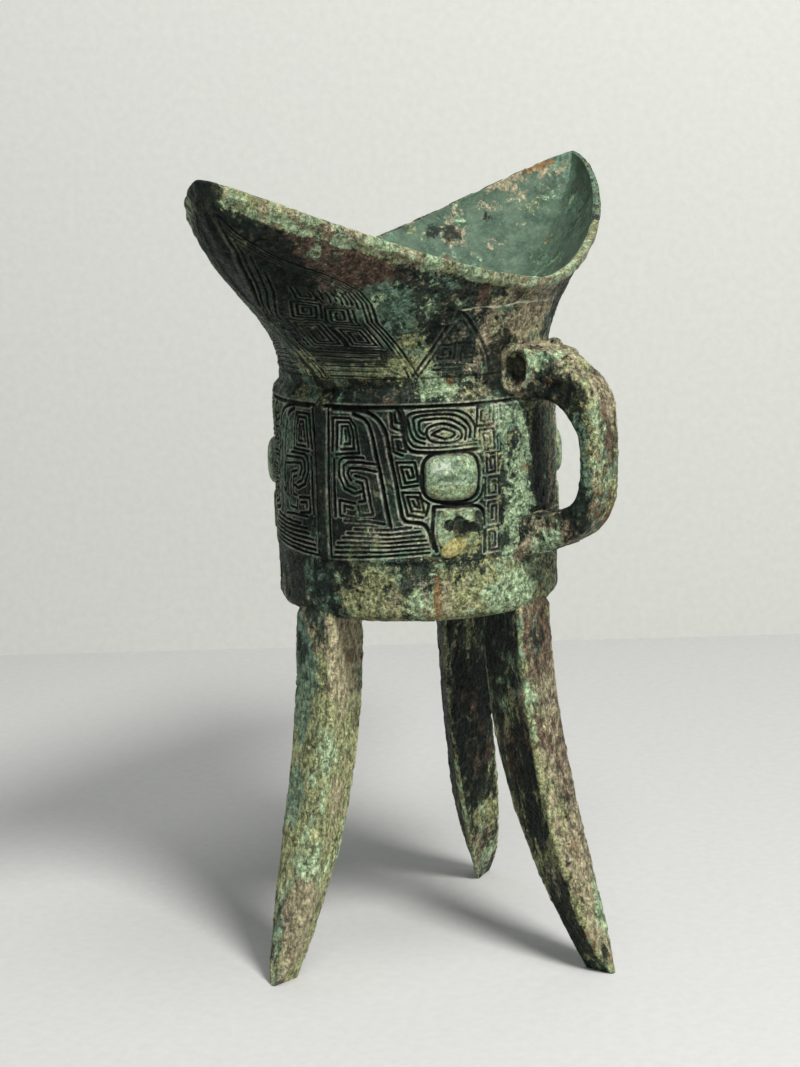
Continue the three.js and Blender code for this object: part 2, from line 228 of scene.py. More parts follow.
class Board:
    def __init__(self, width, height):
        size = [int((side + 2 * BOARD_MARGIN) / BOARD_STEP) + 2 for side in (height, width)]
        self.far = np.full(size, BOARD_FAR, dtype=np.float32)

    def span(self, low, high, count):
        first = int((low - LINE_REACH + BOARD_MARGIN) / BOARD_STEP)
        last = int((high + LINE_REACH + BOARD_MARGIN) / BOARD_STEP) + 1
        return max(0, first), min(count, last)

    def line(self, points):
        for (ax, ay), (bx, by) in zip(points[:-1], points[1:]):
            y0, y1 = self.span(min(ay, by), max(ay, by), self.far.shape[0])
            x0, x1 = self.span(min(ax, bx), max(ax, bx), self.far.shape[1])
            if x1 <= x0 or y1 <= y0:
                continue
            xs = np.arange(x0, x1)[None, :] * BOARD_STEP - BOARD_MARGIN
            ys = np.arange(y0, y1)[:, None] * BOARD_STEP - BOARD_MARGIN
            dx, dy = bx - ax, by - ay
            along = np.clip(((xs - ax) * dx + (ys - ay) * dy) / (dx * dx + dy * dy + 1e-9), 0, 1)
            gap = np.hypot(xs - ax - along * dx, ys - ay - along * dy)
            patch = self.far[y0:y1, x0:x1]
            np.minimum(patch, gap, out=patch)

    def at(self, across, up):
        x = np.clip((across + BOARD_MARGIN) / BOARD_STEP, 0, self.far.shape[1] - 2)
        y = np.clip((up + BOARD_MARGIN) / BOARD_STEP, 0, self.far.shape[0] - 2)
        column, row = x.astype(int), y.astype(int)
        fx, fy = x - column, y - row
        low = blend(self.far[row, column], self.far[row, column + 1], fx)
        high = blend(self.far[row + 1, column], self.far[row + 1, column + 1], fx)
        return blend(low, high, fy)


def spiral(left, bottom, width, height, pitch=1.1, flip=False, drop=False):
    """A squared spiral that starts at a lower corner of its cell and winds in to the middle."""
    low_x, high_x, low_y, high_y = 0.0, width, 0.0, height
    points = [(0.0, 0.0)]
    while high_x - low_x > pitch * 0.6 and high_y - low_y > pitch * 0.6:
        points += [(low_x, high_y), (high_x, high_y), (high_x, low_y), (low_x + pitch, low_y)]
        low_x, high_x, low_y, high_y = low_x + pitch, high_x - pitch, low_y + pitch, high_y - pitch
        points[-1] = (low_x, low_y - pitch)
    turned = [(width - x if flip else x, height - y if drop else y) for x, y in points]
    return [(left + x, bottom + y) for x, y in turned]


def bent(p, q, r, s, t):
    """A smooth curve from q to r, at share t of the way, with p before them and s after."""
    square, cube = 2 * p - 5 * q + 4 * r - s, 3 * q - p - 3 * r + s
    return 0.5 * (2 * q + (r - p) * t + square * t**2 + cube * t**3)


def rounded(points, steps=6):
    """The same line bent smoothly through its points."""
    ends = [points[0], *points, points[-1]]
    out = []
    for around in zip(ends[:-3], ends[1:-2], ends[2:-1], ends[3:]):
        for i in range(steps):
            out.append(tuple(bent(*values, i / steps) for values in zip(*around)))
    return [*out, points[-1]]


def oval(middle_x, middle_y, width, height, squareness=0.6, steps=40):
    out = []
    for i in range(steps + 1):
        c, s = math.cos(FULL_TURN * i / steps), math.sin(FULL_TURN * i / steps)
        x = middle_x + math.copysign(abs(c) ** squareness, c) * width / 2
        y = middle_y + math.copysign(abs(s) ** squareness, s) * height / 2
        out.append((x, y))
    return out


# A quarter of the mask band, in millimetres: across from the rib under a wing to the middle of the mask,
# and up from the band's foot
BODY_LEFT = [(9.8, 37.2), (12.6, 36.1), (13.9, 34.1), (14.8, 30.7), (15.4, 26.2), (16.2, 20.9),
             (17.1, 14.0), (18.0, 9.4)]
BODY_RIGHT = [(3.9, 38.2), (9.9, 38.2), (13.4, 37.7), (15.7, 36.4), (17.2, 34.5), (18.2, 31.5),
              (18.8, 26.2), (19.8, 20.1), (20.5, 14.0), (21.6, 10.8), (25.8, 9.8), (27.3, 7.7), (28.3, 3.8)]
HORN_FOOT = [(20.5, 38.3), (21.4, 36.7), (21.9, 31.8), (23.1, 28.5), (26.3, 27.6), (33.0, 27.5),
             (40.4, 27.6)]
UNDER_EYE = [(25.4, 21.8), (25.9, 17.8), (28.2, 15.2), (32.7, 14.3), (38.0, 14.4), (40.8, 16.4),
             (41.2, 20.4)]
JAW_TOP = [(28.5, 13.6), (34.0, 13.8), (39.2, 13.6), (41.3, 12.0), (41.8, 8.6)]
HORN_RINGS = [
    [(21.7, 38.3), (22.2, 36.7), (22.6, 32.2), (23.8, 29.6), (26.5, 28.7), (33.0, 28.6), (40.0, 28.8)],
    [(26.9, 29.8), (24.3, 31.0), (23.2, 34.6), (23.9, 37.2), (33.3, 37.6), (37.5, 36.4), (39.6, 33.6),
     (39.7, 30.6)],
    [(26.9, 30.9), (25.2, 31.8), (24.4, 34.6), (25.2, 36.4), (32.9, 36.6), (36.4, 35.4), (38.4, 32.9),
     (38.2, 30.5)],
    [(26.8, 32.0), (25.8, 32.9), (25.7, 34.8), (26.6, 35.5), (32.1, 35.6), (35.1, 34.5), (37.2, 32.7),
     (37.0, 30.2)],
    [(27.3, 32.1), (28.1, 33.7), (31.6, 34.4), (35.4, 32.8), (36.0, 30.8), (33.9, 29.8), (28.8, 30.2),
     (27.3, 32.1)],
    [(28.7, 31.9), (31.6, 33.1), (34.3, 31.8), (32.0, 30.8), (28.7, 31.9)],
]
HOOK_LINES = [
    [(3.2, 27.6), (3.7, 36.1), (8.6, 36.2), (10.0, 34.1), (10.5, 30.2), (10.9, 27.0), (4.4, 26.7)],
    [(4.4, 27.9), (4.9, 35.0), (8.3, 35.1), (9.1, 32.8), (9.4, 29.4), (9.6, 28.0), (5.6, 27.9)],
    [(5.6, 29.2), (6.1, 33.9), (7.7, 33.9), (8.1, 31.1), (8.3, 29.2), (6.7, 29.2)],
    [(7.0, 32.8), (7.1, 30.3)],
    [(12.0, 26.0), (6.1, 25.8), (5.2, 25.0), (5.1, 21.2), (6.4, 18.2), (9.1, 17.1), (10.8, 17.7)],
    [(15.0, 24.8), (12.7, 24.8), (7.4, 24.7), (6.4, 23.9), (6.4, 21.3), (7.5, 19.0), (9.6, 18.3)],
    [(15.1, 23.0), (11.0, 23.3), (8.1, 23.3), (7.5, 22.1), (8.4, 20.3)],
    [(9.5, 21.4), (12.4, 20.9), (12.8, 17.7), (13.1, 14.7), (13.7, 12.2), (10.2, 11.8), (9.8, 14.0)],
    [(9.7, 20.0), (11.3, 19.7), (11.7, 15.4), (10.2, 15.2)],
    [(3.7, 25.4), (3.5, 11.0)],
    [(9.0, 14.8), (4.8, 15.2), (4.7, 11.4), (8.8, 10.9)],
    [(8.4, 13.6), (6.0, 13.9), (6.0, 12.5)],
]
BASE_LINES = [
    [(2.8, 0.9), (14.3, 1.7), (27.3, 2.7)],
    [(3.2, 2.1), (14.3, 2.8), (27.2, 3.8)],
    [(3.4, 3.3), (10.3, 3.7), (15.9, 4.2), (26.8, 4.9)],
    [(4.0, 4.5), (10.4, 4.9), (15.9, 5.3), (26.5, 6.0)],
    [(5.4, 5.9), (16.7, 6.4), (26.0, 7.0)],
    [(6.6, 7.1), (16.8, 7.5), (25.2, 8.1)],
    [(8.6, 8.2), (16.9, 8.6), (23.0, 9.2)],
    [(6.0, 10.2), (12.6, 10.4), (16.4, 10.0)],
]
LEIWEN_LINES = [
    [(21.6, 33.0), (19.3, 34.1), (19.2, 37.5)],
    [(21.2, 35.0), (20.2, 35.3), (20.1, 37.6)],
    [(21.5, 27.1), (19.4, 28.1), (19.2, 31.9), (21.7, 31.6), (22.3, 28.0), (20.6, 28.6), (20.3, 30.8),
     (21.1, 30.6), (21.4, 29.4)],
    [(25.3, 19.4), (20.9, 19.0), (19.9, 25.4), (24.3, 25.2), (25.0, 20.5), (21.9, 20.1), (21.0, 24.2),
     (23.4, 24.0), (23.9, 21.5), (22.8, 21.3), (22.3, 23.0)],
    [(25.9, 11.2), (22.2, 12.1), (21.0, 17.8), (25.3, 17.5), (26.2, 12.4), (23.2, 13.0), (22.2, 16.7),
     (24.5, 16.4), (25.2, 13.6), (24.1, 14.0), (23.5, 15.5)],
]
OUTER_CELLS = [(40.2, 33.4, 4.6, 4.6), (41.0, 27.4, 3.8, 5.0), (42.4, 21.4, 3.6, 4.9),
               (41.8, 15.2, 4.2, 5.0), (42.6, 9.0, 3.5, 5.1), (42.0, 2.0, 4.0, 5.8)]
PLAIN_FROM = 46.8
# The middle and reach of the corroded patch that wears the lines away, and of the knob on the jaw plate
WORN_PATCH = (10.5, 8.8, 6.0, 6.2)
LUMP = (33.3, 3.7, 3.7, 2.1)
LUMP_TILT = math.radians(28)


def band_boards():
    """The thin lines of a quarter of the band, and its deep ones."""
    thin, deep = Board(FRONT_QUARTER, BAND_TALL), Board(FRONT_QUARTER, BAND_TALL)
    thin.line([(2.5, 38.2), (2.0, 24.8), (1.8, 9.4), (2.0, 0.8)])
    for line in (*HOOK_LINES, *BASE_LINES, *LEIWEN_LINES):
        thin.line(line)
    for line in (*HORN_RINGS, UNDER_EYE):
        thin.line(rounded(line))
    for line in (BODY_LEFT, BODY_RIGHT, HORN_FOOT, JAW_TOP):
        deep.line(rounded(line))
    deep.line(oval(EYE_ARC, EYE_LEVEL, 2 * EYE_HALF_WIDE + 1.2, 2 * EYE_HALF_TALL + 1.2, 0.6))
    thin.line([(24.6, 16.4), (27.4, 14.4), (26.6, 11.6)])
    deep.line([(28.5, 13.6), (28.0, 7.7), (29.0, 3.0)])
    thin.line([(41.8, 7.6), (41.8, 1.8)])
    for number, cell in enumerate(OUTER_CELLS):
        thin.line(spiral(*cell, flip=number % 2 == 0, drop=number % 3 == 0))
    thin.line([(PLAIN_FROM, 1.6), (PLAIN_FROM, BAND_TALL - 2.4)])
    deep.line([(1.4, BAND_TALL - 1.6), (FRONT_QUARTER, BAND_TALL - 1.6)])
    return thin, deep


def groove_marks(far):
    """How deep in a groove a place lies, and how near it is to the groove's crest, from its distance."""
    return ease(0.46, 0.14, far), ease(0.34, 0.5, far) * ease(0.78, 0.58, far)


def cut_marks(boards, across, up, widen):
    """The marks of the thin lines and then of the deep ones, which are wider, at places on the boards."""
    thin, deep = boards
    return (*groove_marks(thin.at(across, up)), *groove_marks(deep.at(across, up) * widen))


def jaw_plate(across, up):
    beside = np.abs((across - JAW_ARC) / JAW_HALF_WIDE) ** JAW_POWER
    above = np.abs((up - JAW_LEVEL) / JAW_HALF_TALL) ** JAW_POWER
    return ease(0.0, 0.25, 1 - beside - above)


CLOVER = ((32.2, 9.2, 1.35), (34.5, 10.2, 1.25), (36.3, 9.2, 1.1), (38.2, 8.5, 1.3), (34.8, 8.0, 1.6),
          (34.7, 6.2, 1.0), (36.7, 6.8, 1.1))


def clover(across, up):
    """The sunk clover in the jaw plate."""
    depth = 0
    for x, y, radius in CLOVER:
        depth = np.maximum(depth, ease(0.35, -0.25, np.hypot(across - x, up - y) - radius))
    return depth


def lump_rise(across, up):
    """A knob of corrosion that sits on the lower edge of one jaw plate."""
    x, y, wide, tall = LUMP
    along = (across - x) * math.cos(LUMP_TILT) + (up - y) * math.sin(LUMP_TILT)
    aside = (up - y) * math.cos(LUMP_TILT) - (across - x) * math.sin(LUMP_TILT)
    return np.clip(1 - (along / wide) ** 2 - (aside / tall) ** 2, 0, 1) ** 0.4


def band_wear(points, across, up, seen):
    """How much is left of the lines: less in the corroded patch, and beside the seen plain zone."""
    x, y, wide, tall = WORN_PATCH
    patch = np.exp(-(((across - x) / wide) ** 4) - ((up - y) / tall) ** 4) * seen
    left = blend(0.5, 1.0, ease(0.3, 0.5, layered(points, 11.0, 11))) * (1 - 0.6 * patch)
    return left * (1 - 0.55 * ease(39.5, 42, across) * seen)


def eye_marks(marks, across, up, boss, edge):
    """The painted glint of light on an eye, the slot of its pupil and the pale edge under it, by shares of
    its size.
    """
    marks["painted_glint"] = boss * np.exp(-(((across + 0.38) / 0.34) ** 2) - ((up - 0.52) / 0.22) ** 2)
    slot = ease(0.42, 0.32, np.abs(across + 0.04)) * ease(0.16, 0.08, np.abs(up - 0.02)) * boss
    under = ease(0.52, 0.42, np.abs(across + 0.04)) * ease(0.09, 0.04, np.abs(up + 0.2)) * boss
    lay(marks, "groove", 0.42 * slot * edge)
    lay(marks, "crest", 0.8 * under * edge)


def band_relief(points, marks):
    """The relief of the band over the plain wall, for points on it. It also fills in the marks."""
    handle_side = points[..., 1] < CUP_RADIUS * math.sin(math.radians(RIB_TURN))
    seen = handle_side * (points[..., 0] < 0)
    azimuth = np.degrees(np.arctan2(points[..., 1], np.abs(points[..., 0])))
    across = np.radians(np.abs(azimuth - RIB_TURN)) * CUP_RADIUS
    to_middle = np.where(points[..., 1] > 0, BACK_QUARTER, FRONT_QUARTER) - across
    across = across + (noise(points, 9.0, 3) - 0.5) * ease(1.5, 6, across)
    up = points[..., 2] - BAND_BOTTOM
    sway = 0.9 * (noise(points, 8.0, 5) - 0.5)
    up = up + sway * ease(0.5, 4, up) * ease(BAND_TALL - 0.5, BAND_TALL - 5, up)
    edge = ease(-0.3, 0.5, up) * ease(BAND_TALL + 0.6, BAND_TALL - 1.6, up)

    eye_across, eye_up = (across - EYE_ARC) / EYE_HALF_WIDE, (up - EYE_LEVEL) / EYE_HALF_TALL
    eye = np.clip(1 - np.abs(eye_across) ** EYE_POWER - np.abs(eye_up) ** EYE_POWER, 0, 1)
    jaw = jaw_plate(across, up)
    hollow = clover(across, up) * jaw
    lump = lump_rise(across, up) * seen
    rib = ease(1.5, 1.0, across)
    nose = ease(3.4, 2.2, to_middle) * ~handle_side
    bare = (handle_side & (across > PLAIN_FROM - 0.4)) * ease(BAND_TALL - 3.4, BAND_TALL - 4.2, up)
    clear = (1 - np.minimum(eye * 8, 1)) * (1 - jaw) * (1 - rib) * (1 - bare) * (1 - nose)

    groove, crest, sunk, sunk_crest = cut_marks(BAND_BOARDS, across, up, 0.75)
    worn = band_wear(points, across, up, seen)
    groove, sunk = groove * worn * clear, sunk * blend(worn, 1, 0.4) * clear
    lay(marks, "groove", np.maximum(groove, sunk) * edge)
    lay(marks, "groove", 0.5 * hollow * edge)
    lay(marks, "crest", np.maximum(crest, sunk_crest) * clear * edge)

    plate = np.maximum(np.minimum(eye * 6, 1), jaw * (1 - hollow)) * edge * (1 - np.minimum(3 * lump, 1))
    from_loss = np.hypot(across - LOSS_ARC, (up - LOSS_LEVEL) * 0.8)
    lost = ease(37.2, 39.8, across) * ease(1.2, 2.0, from_loss) * seen * jaw
    plate = plate * (1 - 0.8 * lost)
    boss = np.minimum(eye * 4, 1)
    low_half = ease(0.0, -0.45, eye_up)
    lay(marks, "pale", plate * blend(0.6, 0.8, boss) * blend(1, 0.7, boss * low_half))
    lay(marks, "olive", plate * blend(1, low_half, boss))
    lay(marks, "teal", 0.8 * plate * boss * (1 - low_half))
    lay(marks, "smooth", plate)
    marks["knob"] = np.minimum(2 * lump, 1)
    marks["eye"] = plate * boss
    eye_marks(marks, eye_across, eye_up, boss, edge)

    raised = EYE_RISE * np.sqrt(eye) + JAW_RISE * jaw * (1 - hollow) + RIB_RISE * rib + NOSE_RISE * nose
    raised = np.maximum(raised, LUMP_RISE * lump)
    return (BAND_RISE + raised - np.maximum(LINE_DEPTH * groove, OUTLINE_DEPTH * sunk)) * edge


# The leaf blades on the outside of the wings: across is the distance from a keel strip, and up is along
# the keel
BLADE_EDGE = [(0, 24.4), (9, 26.4), (24, 28.8), (40, 28.4), (47, 27.9), (51, 24.2), (53.5, 19.3), (57, 9.7),
              (63, 3.1), (68, 0.0)]
KEEL_LINE = [(0, -2.0), (10, -4.0), (24, -5.0), (30, -4.5), (41, 0.4), (57, 3.8), (68, 2.2), (75, 0.0)]
NECK_LINE = 2.4
FAR_KEEL_LINE = [(0, -8.0), (24, -9.4), (41, -8.6), (57, -7.4), (68, -4.0), (75, 0.0)]
HIDDEN_KEEL_LINE = [(0, 3.2), (24, 3.0), (46, 4.4), (60, 3.6), (68, 2.0), (75, 0.0)]
SMALL_BLADE_TALL, SMALL_BLADE_HALF, SMALL_BLADE_LEAN = 15.6, 9.6, 11.0
SMALL_BLADES = {-1: (50.0,), 1: (50.0, 90.0)}


def along_points(points, value):
    ups, widths = zip(*points)
    return np.interp(value, ups, widths)


# Spirals inside a blade: inset from its outer edge, height on the keel, width and height
BLADE_CELLS = [(4.2, 16.4, 8.2, 10.0), (13.0, 16.4, 9.4, 12.6), (5.2, 27.8, 7.0, 8.4),
               (13.2, 30.4, 7.0, 7.4), (14.0, 39.2, 5.0, 5.0)]
# Lines beside the blade's outer edge: inset and the two ends on the keel
BLADE_STROKES = [(3.7, 37, 51), (4.9, 38, 48), (6.1, 38, 50), (7.4, 38, 46), (8.8, 40, 49), (10.4, 39, 45),
                 (12.2, 41, 48), (14.4, 46, 49)]


def inset_line(points, distance):
    """A line beside the given one, on its left as it runs."""
    line = np.array(points, dtype=float)
    along = np.gradient(line, axis=0)
    along /= np.linalg.norm(along, axis=1, keepdims=True)
    beside = line + distance * np.stack([-along[:, 1], along[:, 0]], axis=1)
    return [tuple(point) for point in beside.tolist() if point[0] > 0.4]


def in_blade(points):
    """Points given as inset from the outer edge and height, laid on the blade's board."""
    out = []
    for (ax, ay), (bx, by) in zip(points[:-1], points[1:]):
        for t in (0.0, 0.34, 0.67):
            inset, height = blend(ax, bx, t), blend(ay, by, t)
            out.append((along_points(BLADE_EDGE, height) - inset, height))
    return out


def blade_boards():
    thin, deep = Board(36, 74), Board(36, 74)
    ups = np.linspace(0, 68, 80)
    border = list(zip(along_points(BLADE_EDGE, ups).tolist(), ups.tolist()))
    deep.line(border)
    for inset in (1.25, 2.4):
        thin.line(inset_line(border, inset))
    for inset, low, high in BLADE_STROKES:
        thin.line(inset_line([point for point in border if low < point[1] < high], inset))
    deep.line([(0.0, NECK_LINE), (0.0, 68.0)])
    for across, low, high in ((1.4, 3.5, 60), (3.0, 9, 56), (4.6, 26, 50)):
        thin.line([(across, low), (across, high)])
    for level in (3.6, 5.6, 7.6, 9.6, 11.6, 13.6):
        end = along_points(BLADE_EDGE, level) - 4.6
        thin.line([(3.0, level), (end - 1.2, level + 0.2), (end, level - 0.9)])
    for number, cell in enumerate(BLADE_CELLS):
        thin.line(in_blade(spiral(*cell, pitch=1.26, flip=number % 3 == 1, drop=number % 2 == 0)))
    return thin, deep


def small_blade_boards():
    thin, deep = Board(12, 20), Board(12, 20)
    steps = [i / 14 for i in range(15)]
    edge = [(SMALL_BLADE_HALF * (1 - t**1.25), 0.6 + SMALL_BLADE_TALL * t) for t in steps]
    deep.line(edge)
    thin.line([(x - 1.4, y) for x, y in edge if x > 1.6])
    for level in (1.9, 3.1):
        thin.line([(0.0, level), (6.0 - level * 0.3, level)])
    thin.line(spiral(0.8, 4.6, 4.0, 3.4, pitch=1.0))
    thin.line([(0.6, 9.4), (2.4, 9.4), (1.2, 12.6)])
    return thin, deep


# Places where the crests between the lines are lighter, rubbed and with a painted highlight, and a pale
# crack under the rim
CREST_SPOTS = [((-38, -16, 164.5), 5.0, 1.6), ((-36, -9, 157.5), 9.0, 0.7)]
CRACK = [(-24, -31, 170.8), (-19, -33, 171.4), (-13, -35.2, 171.0), (-7, -36.6, 171.6), (0, -37, 171.2),
         (7, -36.4, 170.8)]


def path_gap(points, path):
    """The distance of each point from a path through space."""
    gap = np.full(points.shape[:-1], 1e3)
    for a, b in zip(path[:-1], path[1:]):
        a, b = np.array(a, dtype=float), np.array(b, dtype=float)
        along = np.clip((points - a) @ (b - a) / ((b - a) @ (b - a)), 0, 1)
        gap = np.minimum(gap, np.linalg.norm(points - a - along[..., None] * (b - a), axis=-1))
    return gap


def from_keel(grid):
    """How far each point of the mouth's outside is round from its wing's keel and up along it, and
    whether it is on the left wing."""
    seams = np.linalg.norm(np.roll(grid, -1, axis=1) - grid, axis=-1)
    travelled = np.concatenate([np.zeros((len(grid), 1)), np.cumsum(seams, axis=1)], axis=1)
    total = grid.shape[1]
    half, quarter = total // 2, total // 4
    columns = np.arange(total)
    left = (columns >= quarter) & (columns < 3 * quarter)
    keel = np.where(left, half, np.where(columns >= 3 * quarter, total, 0))
    lateral = travelled[:, :-1] - travelled[:, keel]
    lateral = np.where(left, lateral, -lateral)
    climbs = [np.diff(grid[:, k], axis=0, prepend=grid[:1, k]) for k in (0, half)]
    right_up, left_up = (np.linalg.norm(climb, axis=1).cumsum()[:, None] for climb in climbs)
    return lateral, np.where(left, left_up, right_up), left


def small_blade_marks(grid, azimuths, height, sway, cuts):
    """Adds the small blades on the neck to the marks of the lines."""
    degrees = np.degrees(azimuths)[None, :]
    reach = np.hypot(grid[..., 0], grid[..., 1])
    for side, from_wings in SMALL_BLADES.items():
        centres = [centre for turn in from_wings for centre in {side * turn, side * (180 - turn)}]
        for centre in centres:
            lean = SMALL_BLADE_LEAN * np.clip(height / SMALL_BLADE_TALL, 0, 1)
            lean = lean * np.sign(side * 90 - centre)
            turn = np.mod(degrees - centre - lean + 180, 360) - 180
            from_middle = np.abs(turn) * math.radians(1) * reach + 0.6 * sway
            near = from_middle < 11
            added = cut_marks(SMALL_BOARDS, from_middle, height, 0.8)
            cuts = [np.maximum(cut, extra * near) for cut, extra in zip(cuts, added)]
    return cuts


def wing_relief(grid, azimuths, marks):
    """The grooves of the blades on the rows of the mouth's outside. It also fills in the marks."""
    lateral, up, left = from_keel(grid)
    sway = noise(grid, 8.0, 17) - 0.5
    hidden = along_points(HIDDEN_KEEL_LINE, up)
    near_line = np.where(left, along_points(KEEL_LINE, up), hidden)
    far_line = np.where(left, along_points(FAR_KEEL_LINE, up), -hidden)
    across = np.maximum(lateral - near_line, far_line - lateral) + 0.9 * sway
    up = up + 0.8 * (noise(grid, 8.0, 19) - 0.5)
    above_neck = grid[..., 2] - NECK_HEIGHT

    inside = (across > -1.0) & (across < 33)
    fade = ease(69, 62, up) * inside
    groove, crest, sunk, sunk_crest = cut_marks(BLADE_BOARDS, across, up, 0.8)
    cuts = [groove * fade, crest * fade, sunk * inside * ease(70, 66, up), sunk_crest * inside * fade]
    cuts = small_blade_marks(grid, azimuths, above_neck - NECK_LINE, sway, cuts)
    low = ease(NECK_LINE - 0.2, NECK_LINE + 0.4, above_neck)
    groove, crest, sunk, sunk_crest = (cut * low for cut in cuts)

    worn = blend(0.25, 1.0, ease(0.36, 0.56, layered(grid, 9.0, 23)))
    worn = worn * blend(0.38, 0.85, inside * ease(-1.2, 0.4, across))
    worn = worn * blend(1, 0.5, ease(38, 56, up) * inside)
    groove, sunk = groove * worn, sunk * blend(worn, 1, 0.3)
    neck = np.exp(-(((above_neck - NECK_LINE) / 0.4) ** 2)) * blend(0.5, 1, noise(grid, 7.0, 27))
    marks["groove"] = np.maximum(np.maximum(groove, sunk), 0.8 * neck)
    marks["crest"] = 0.7 * np.maximum(crest, sunk_crest) * worn
    # The strip beside each keel is smooth, and is painted dark as painted shade.
    strip = ease(-1.0, -2.0, across) * ease(72, 62, up)
    marks["smooth"] = 0.8 * strip
    marks["dark"] = 0.85 * strip
    ridge = np.exp(-(((across + 0.9) / 0.4) ** 2)) * ease(68, 58, up) * low
    lay(marks, "crest", 0.4 * ridge)
    for middle, reach, change in CREST_SPOTS:
        from_spot = np.linalg.norm(grid - np.array(middle), axis=-1)
        marks["crest"] = marks["crest"] * (1 + change * np.exp(-((from_spot / reach) ** 2)))
    marks["crack"] = ease(0.42, 0.2, path_gap(grid, CRACK) + 0.5 * (noise(grid, 2.0, 29) - 0.4))
    cut = np.maximum(BLADE_LINE_DEPTH * groove, BLADE_OUTLINE_DEPTH * sunk)
    return KEEL_RIDGE * ridge - np.maximum(cut, NECK_LINE_DEPTH * neck)


# Patches of patina placed one by one. Each is its place, its reach in millimetres across and up, and its
# strength. A place is an azimuth and a height on the cup's wall, or a point.
# Some patches below are painted light and shade rather than patina; the lists name them.
OUTER_PATCHES = {
    "pale": [
        ((251, 140), 2.2, 12, 0.55), ((260, 133), 3.4, 15, 0.62), ((256, 119), 3.5, 8, 0.5),
        ((214, 100), 3.5, 3.5, 0.5), ((256, 99), 9, 6, 0.9), ((229, 152), 7, 3, 0.55),
        ((219, 153), 3, 5, 0.55), ((190, 120), 3, 4, 0.3), ((244, 146), 3, 4, 0.4), ((246, 155), 3, 4, 0.4),
        ((-26, -30, 172), 5, 2.5, 0.5), ((70, 120), 9, 9, 0.5), ((120, 140), 7, 9, 0.4),
        ((330, 118), 9, 9, 0.45),
    ],
    "teal": [
        ((184.5, 134), 2, 22, 0.6), ((205, 130), 12, 16, -0.14), ((228, 102), 16, 7, -0.3),
        ((150, 130), 12, 20, 0.3), ((172, 100), 7, 12, 0.5), ((-44, -20.5, 174.5), 4.5, 6, 1.1),
        ((-38, -20.5, 169), 3.5, 5, 1.0), ((255, 145), 4, 5, 0.5), ((200, 112), 8, 4, 0.3),
        ((193, 143), 3, 6, 0.4), ((60, 150), 16, 12, 0.45), ((20, 112), 14, 10, 0.45),
        ((60, 20, 180), 14, 12, 0.5), ((340, 156), 12, 9, 0.4),
    ],
    "red": [
        ((-65, -16, 189.5), 9, 4.5, 1.1), ((-56, -19.5, 184), 8, 5, 1.1), ((-48, -22, 179.5), 7, 4.5, 0.9),
        ((190, 119), 4.5, 6, 0.6), ((245, 112), 5, 8, 0.35), ((203, 141), 3, 8, 0.3),
        ((50, 22, 186), 12, 6, 0.5), ((100, 112), 10, 8, 0.4),
    ],
    # The tan patch at azimuth 284, height 130, is painted light beside the handle's painted shadow.
    "tan": [
        ((255, 166), 12, 7, 0.5), ((240, 172), 6, 4, 0.3), ((275, 168), 9, 7, 0.6),
        ((194, 115), 5, 3.5, 0.7), ((262, 112), 6, 5, 0.35), ((190, 132), 18, 18, -0.14),
        ((90, 168), 14, 6, 0.5), ((244, 156), 5, 5, 0.7), ((225, 100), 18, 7, 0.16),
        ((284, 130), 4, 20, 0.4),
    ],
    "olive": [
        ((200, 130), 20, 18, -0.22), ((222, 99), 14, 8, 0.2), ((242, 100), 12, 7, 0.3),
        ((253, 100), 12, 8, 0.55), ((195, 99), 10, 7, 0.2), ((200, 157), 10, 4, 0.45),
        ((232, 114), 3, 3, 0.9), ((-32, -20.5, 161.5), 2.5, 5, 1.0), ((-29, -22, 160.5), 2.5, 4, 1.0),
        ((-36.5, -9, 157.6), 13, 3.4, 1.0), ((-46, -12, 176), 6, 4, 0.4), ((-44, -20, 174), 8, 6, -0.4),
        ((193, 112), 5, 3, 0.7), ((80, 98), 20, 7, 0.5), ((330, 98), 20, 7, 0.5),
    ],
    "rust": [
        ((221, 102), 1.2, 9, 0.62), ((196, 114), 4, 3, 0.4), ((30, 104), 3, 6, 0.5),
    ],
    # Painted shade and shadow among the dark patches: the handle's shadow at azimuth 271, the ear's shadow
    # at (-10.5, -32.6, 155), the shade on the band's side at azimuth 180, and the shade on the left wing's
    # outside from (-77, 5, 195) to (-43, -8, 164), which is partly dark patina too. The negative patch at
    # azimuth 284 is painted light beside the handle's shadow.
    "dark": [
        ((205, 128), 12, 16, 0.05), ((246, 128), 2.5, 18, 0.35), ((258, 132), 7, 22, -0.35),
        ((271, 130), 2, 18, 0.5), ((284, 130), 4, 20, -0.3), ((-10.5, -32.6, 155), 3.5, 8, 1.0),
        ((262, 166), 14, 7, -0.3), ((-77, 5, 195), 15, 14, 1.0), ((-70, -4, 184), 12, 12, 0.9),
        ((-56, -8, 172), 12, 12, 0.55), ((-43, -8, 164), 9, 9, 0.3), ((228, 168), 8, 7, 0.3),
        ((180, 132), 13, 24, 0.8), ((184.5, 135), 1.8, 22, -0.6), ((208, 140), 10, 10, 0.05),
        ((-61, -17.5, 187), 13, 6, -0.4), ((196, 160), 10, 8, 0.4), ((238, 160), 6, 8, 0.3),
        ((212, 101), 12, 7, -0.05), ((245, 101), 14, 7, -0.25), ((-41, -14, 169), 8, 6, 0.25),
        ((-33, -20.5, 164), 3, 6, -0.4), ((-36.5, -9, 157), 12, 3.6, -0.5), ((-44, -20.5, 173), 7, 8, -0.3),
    ],
}
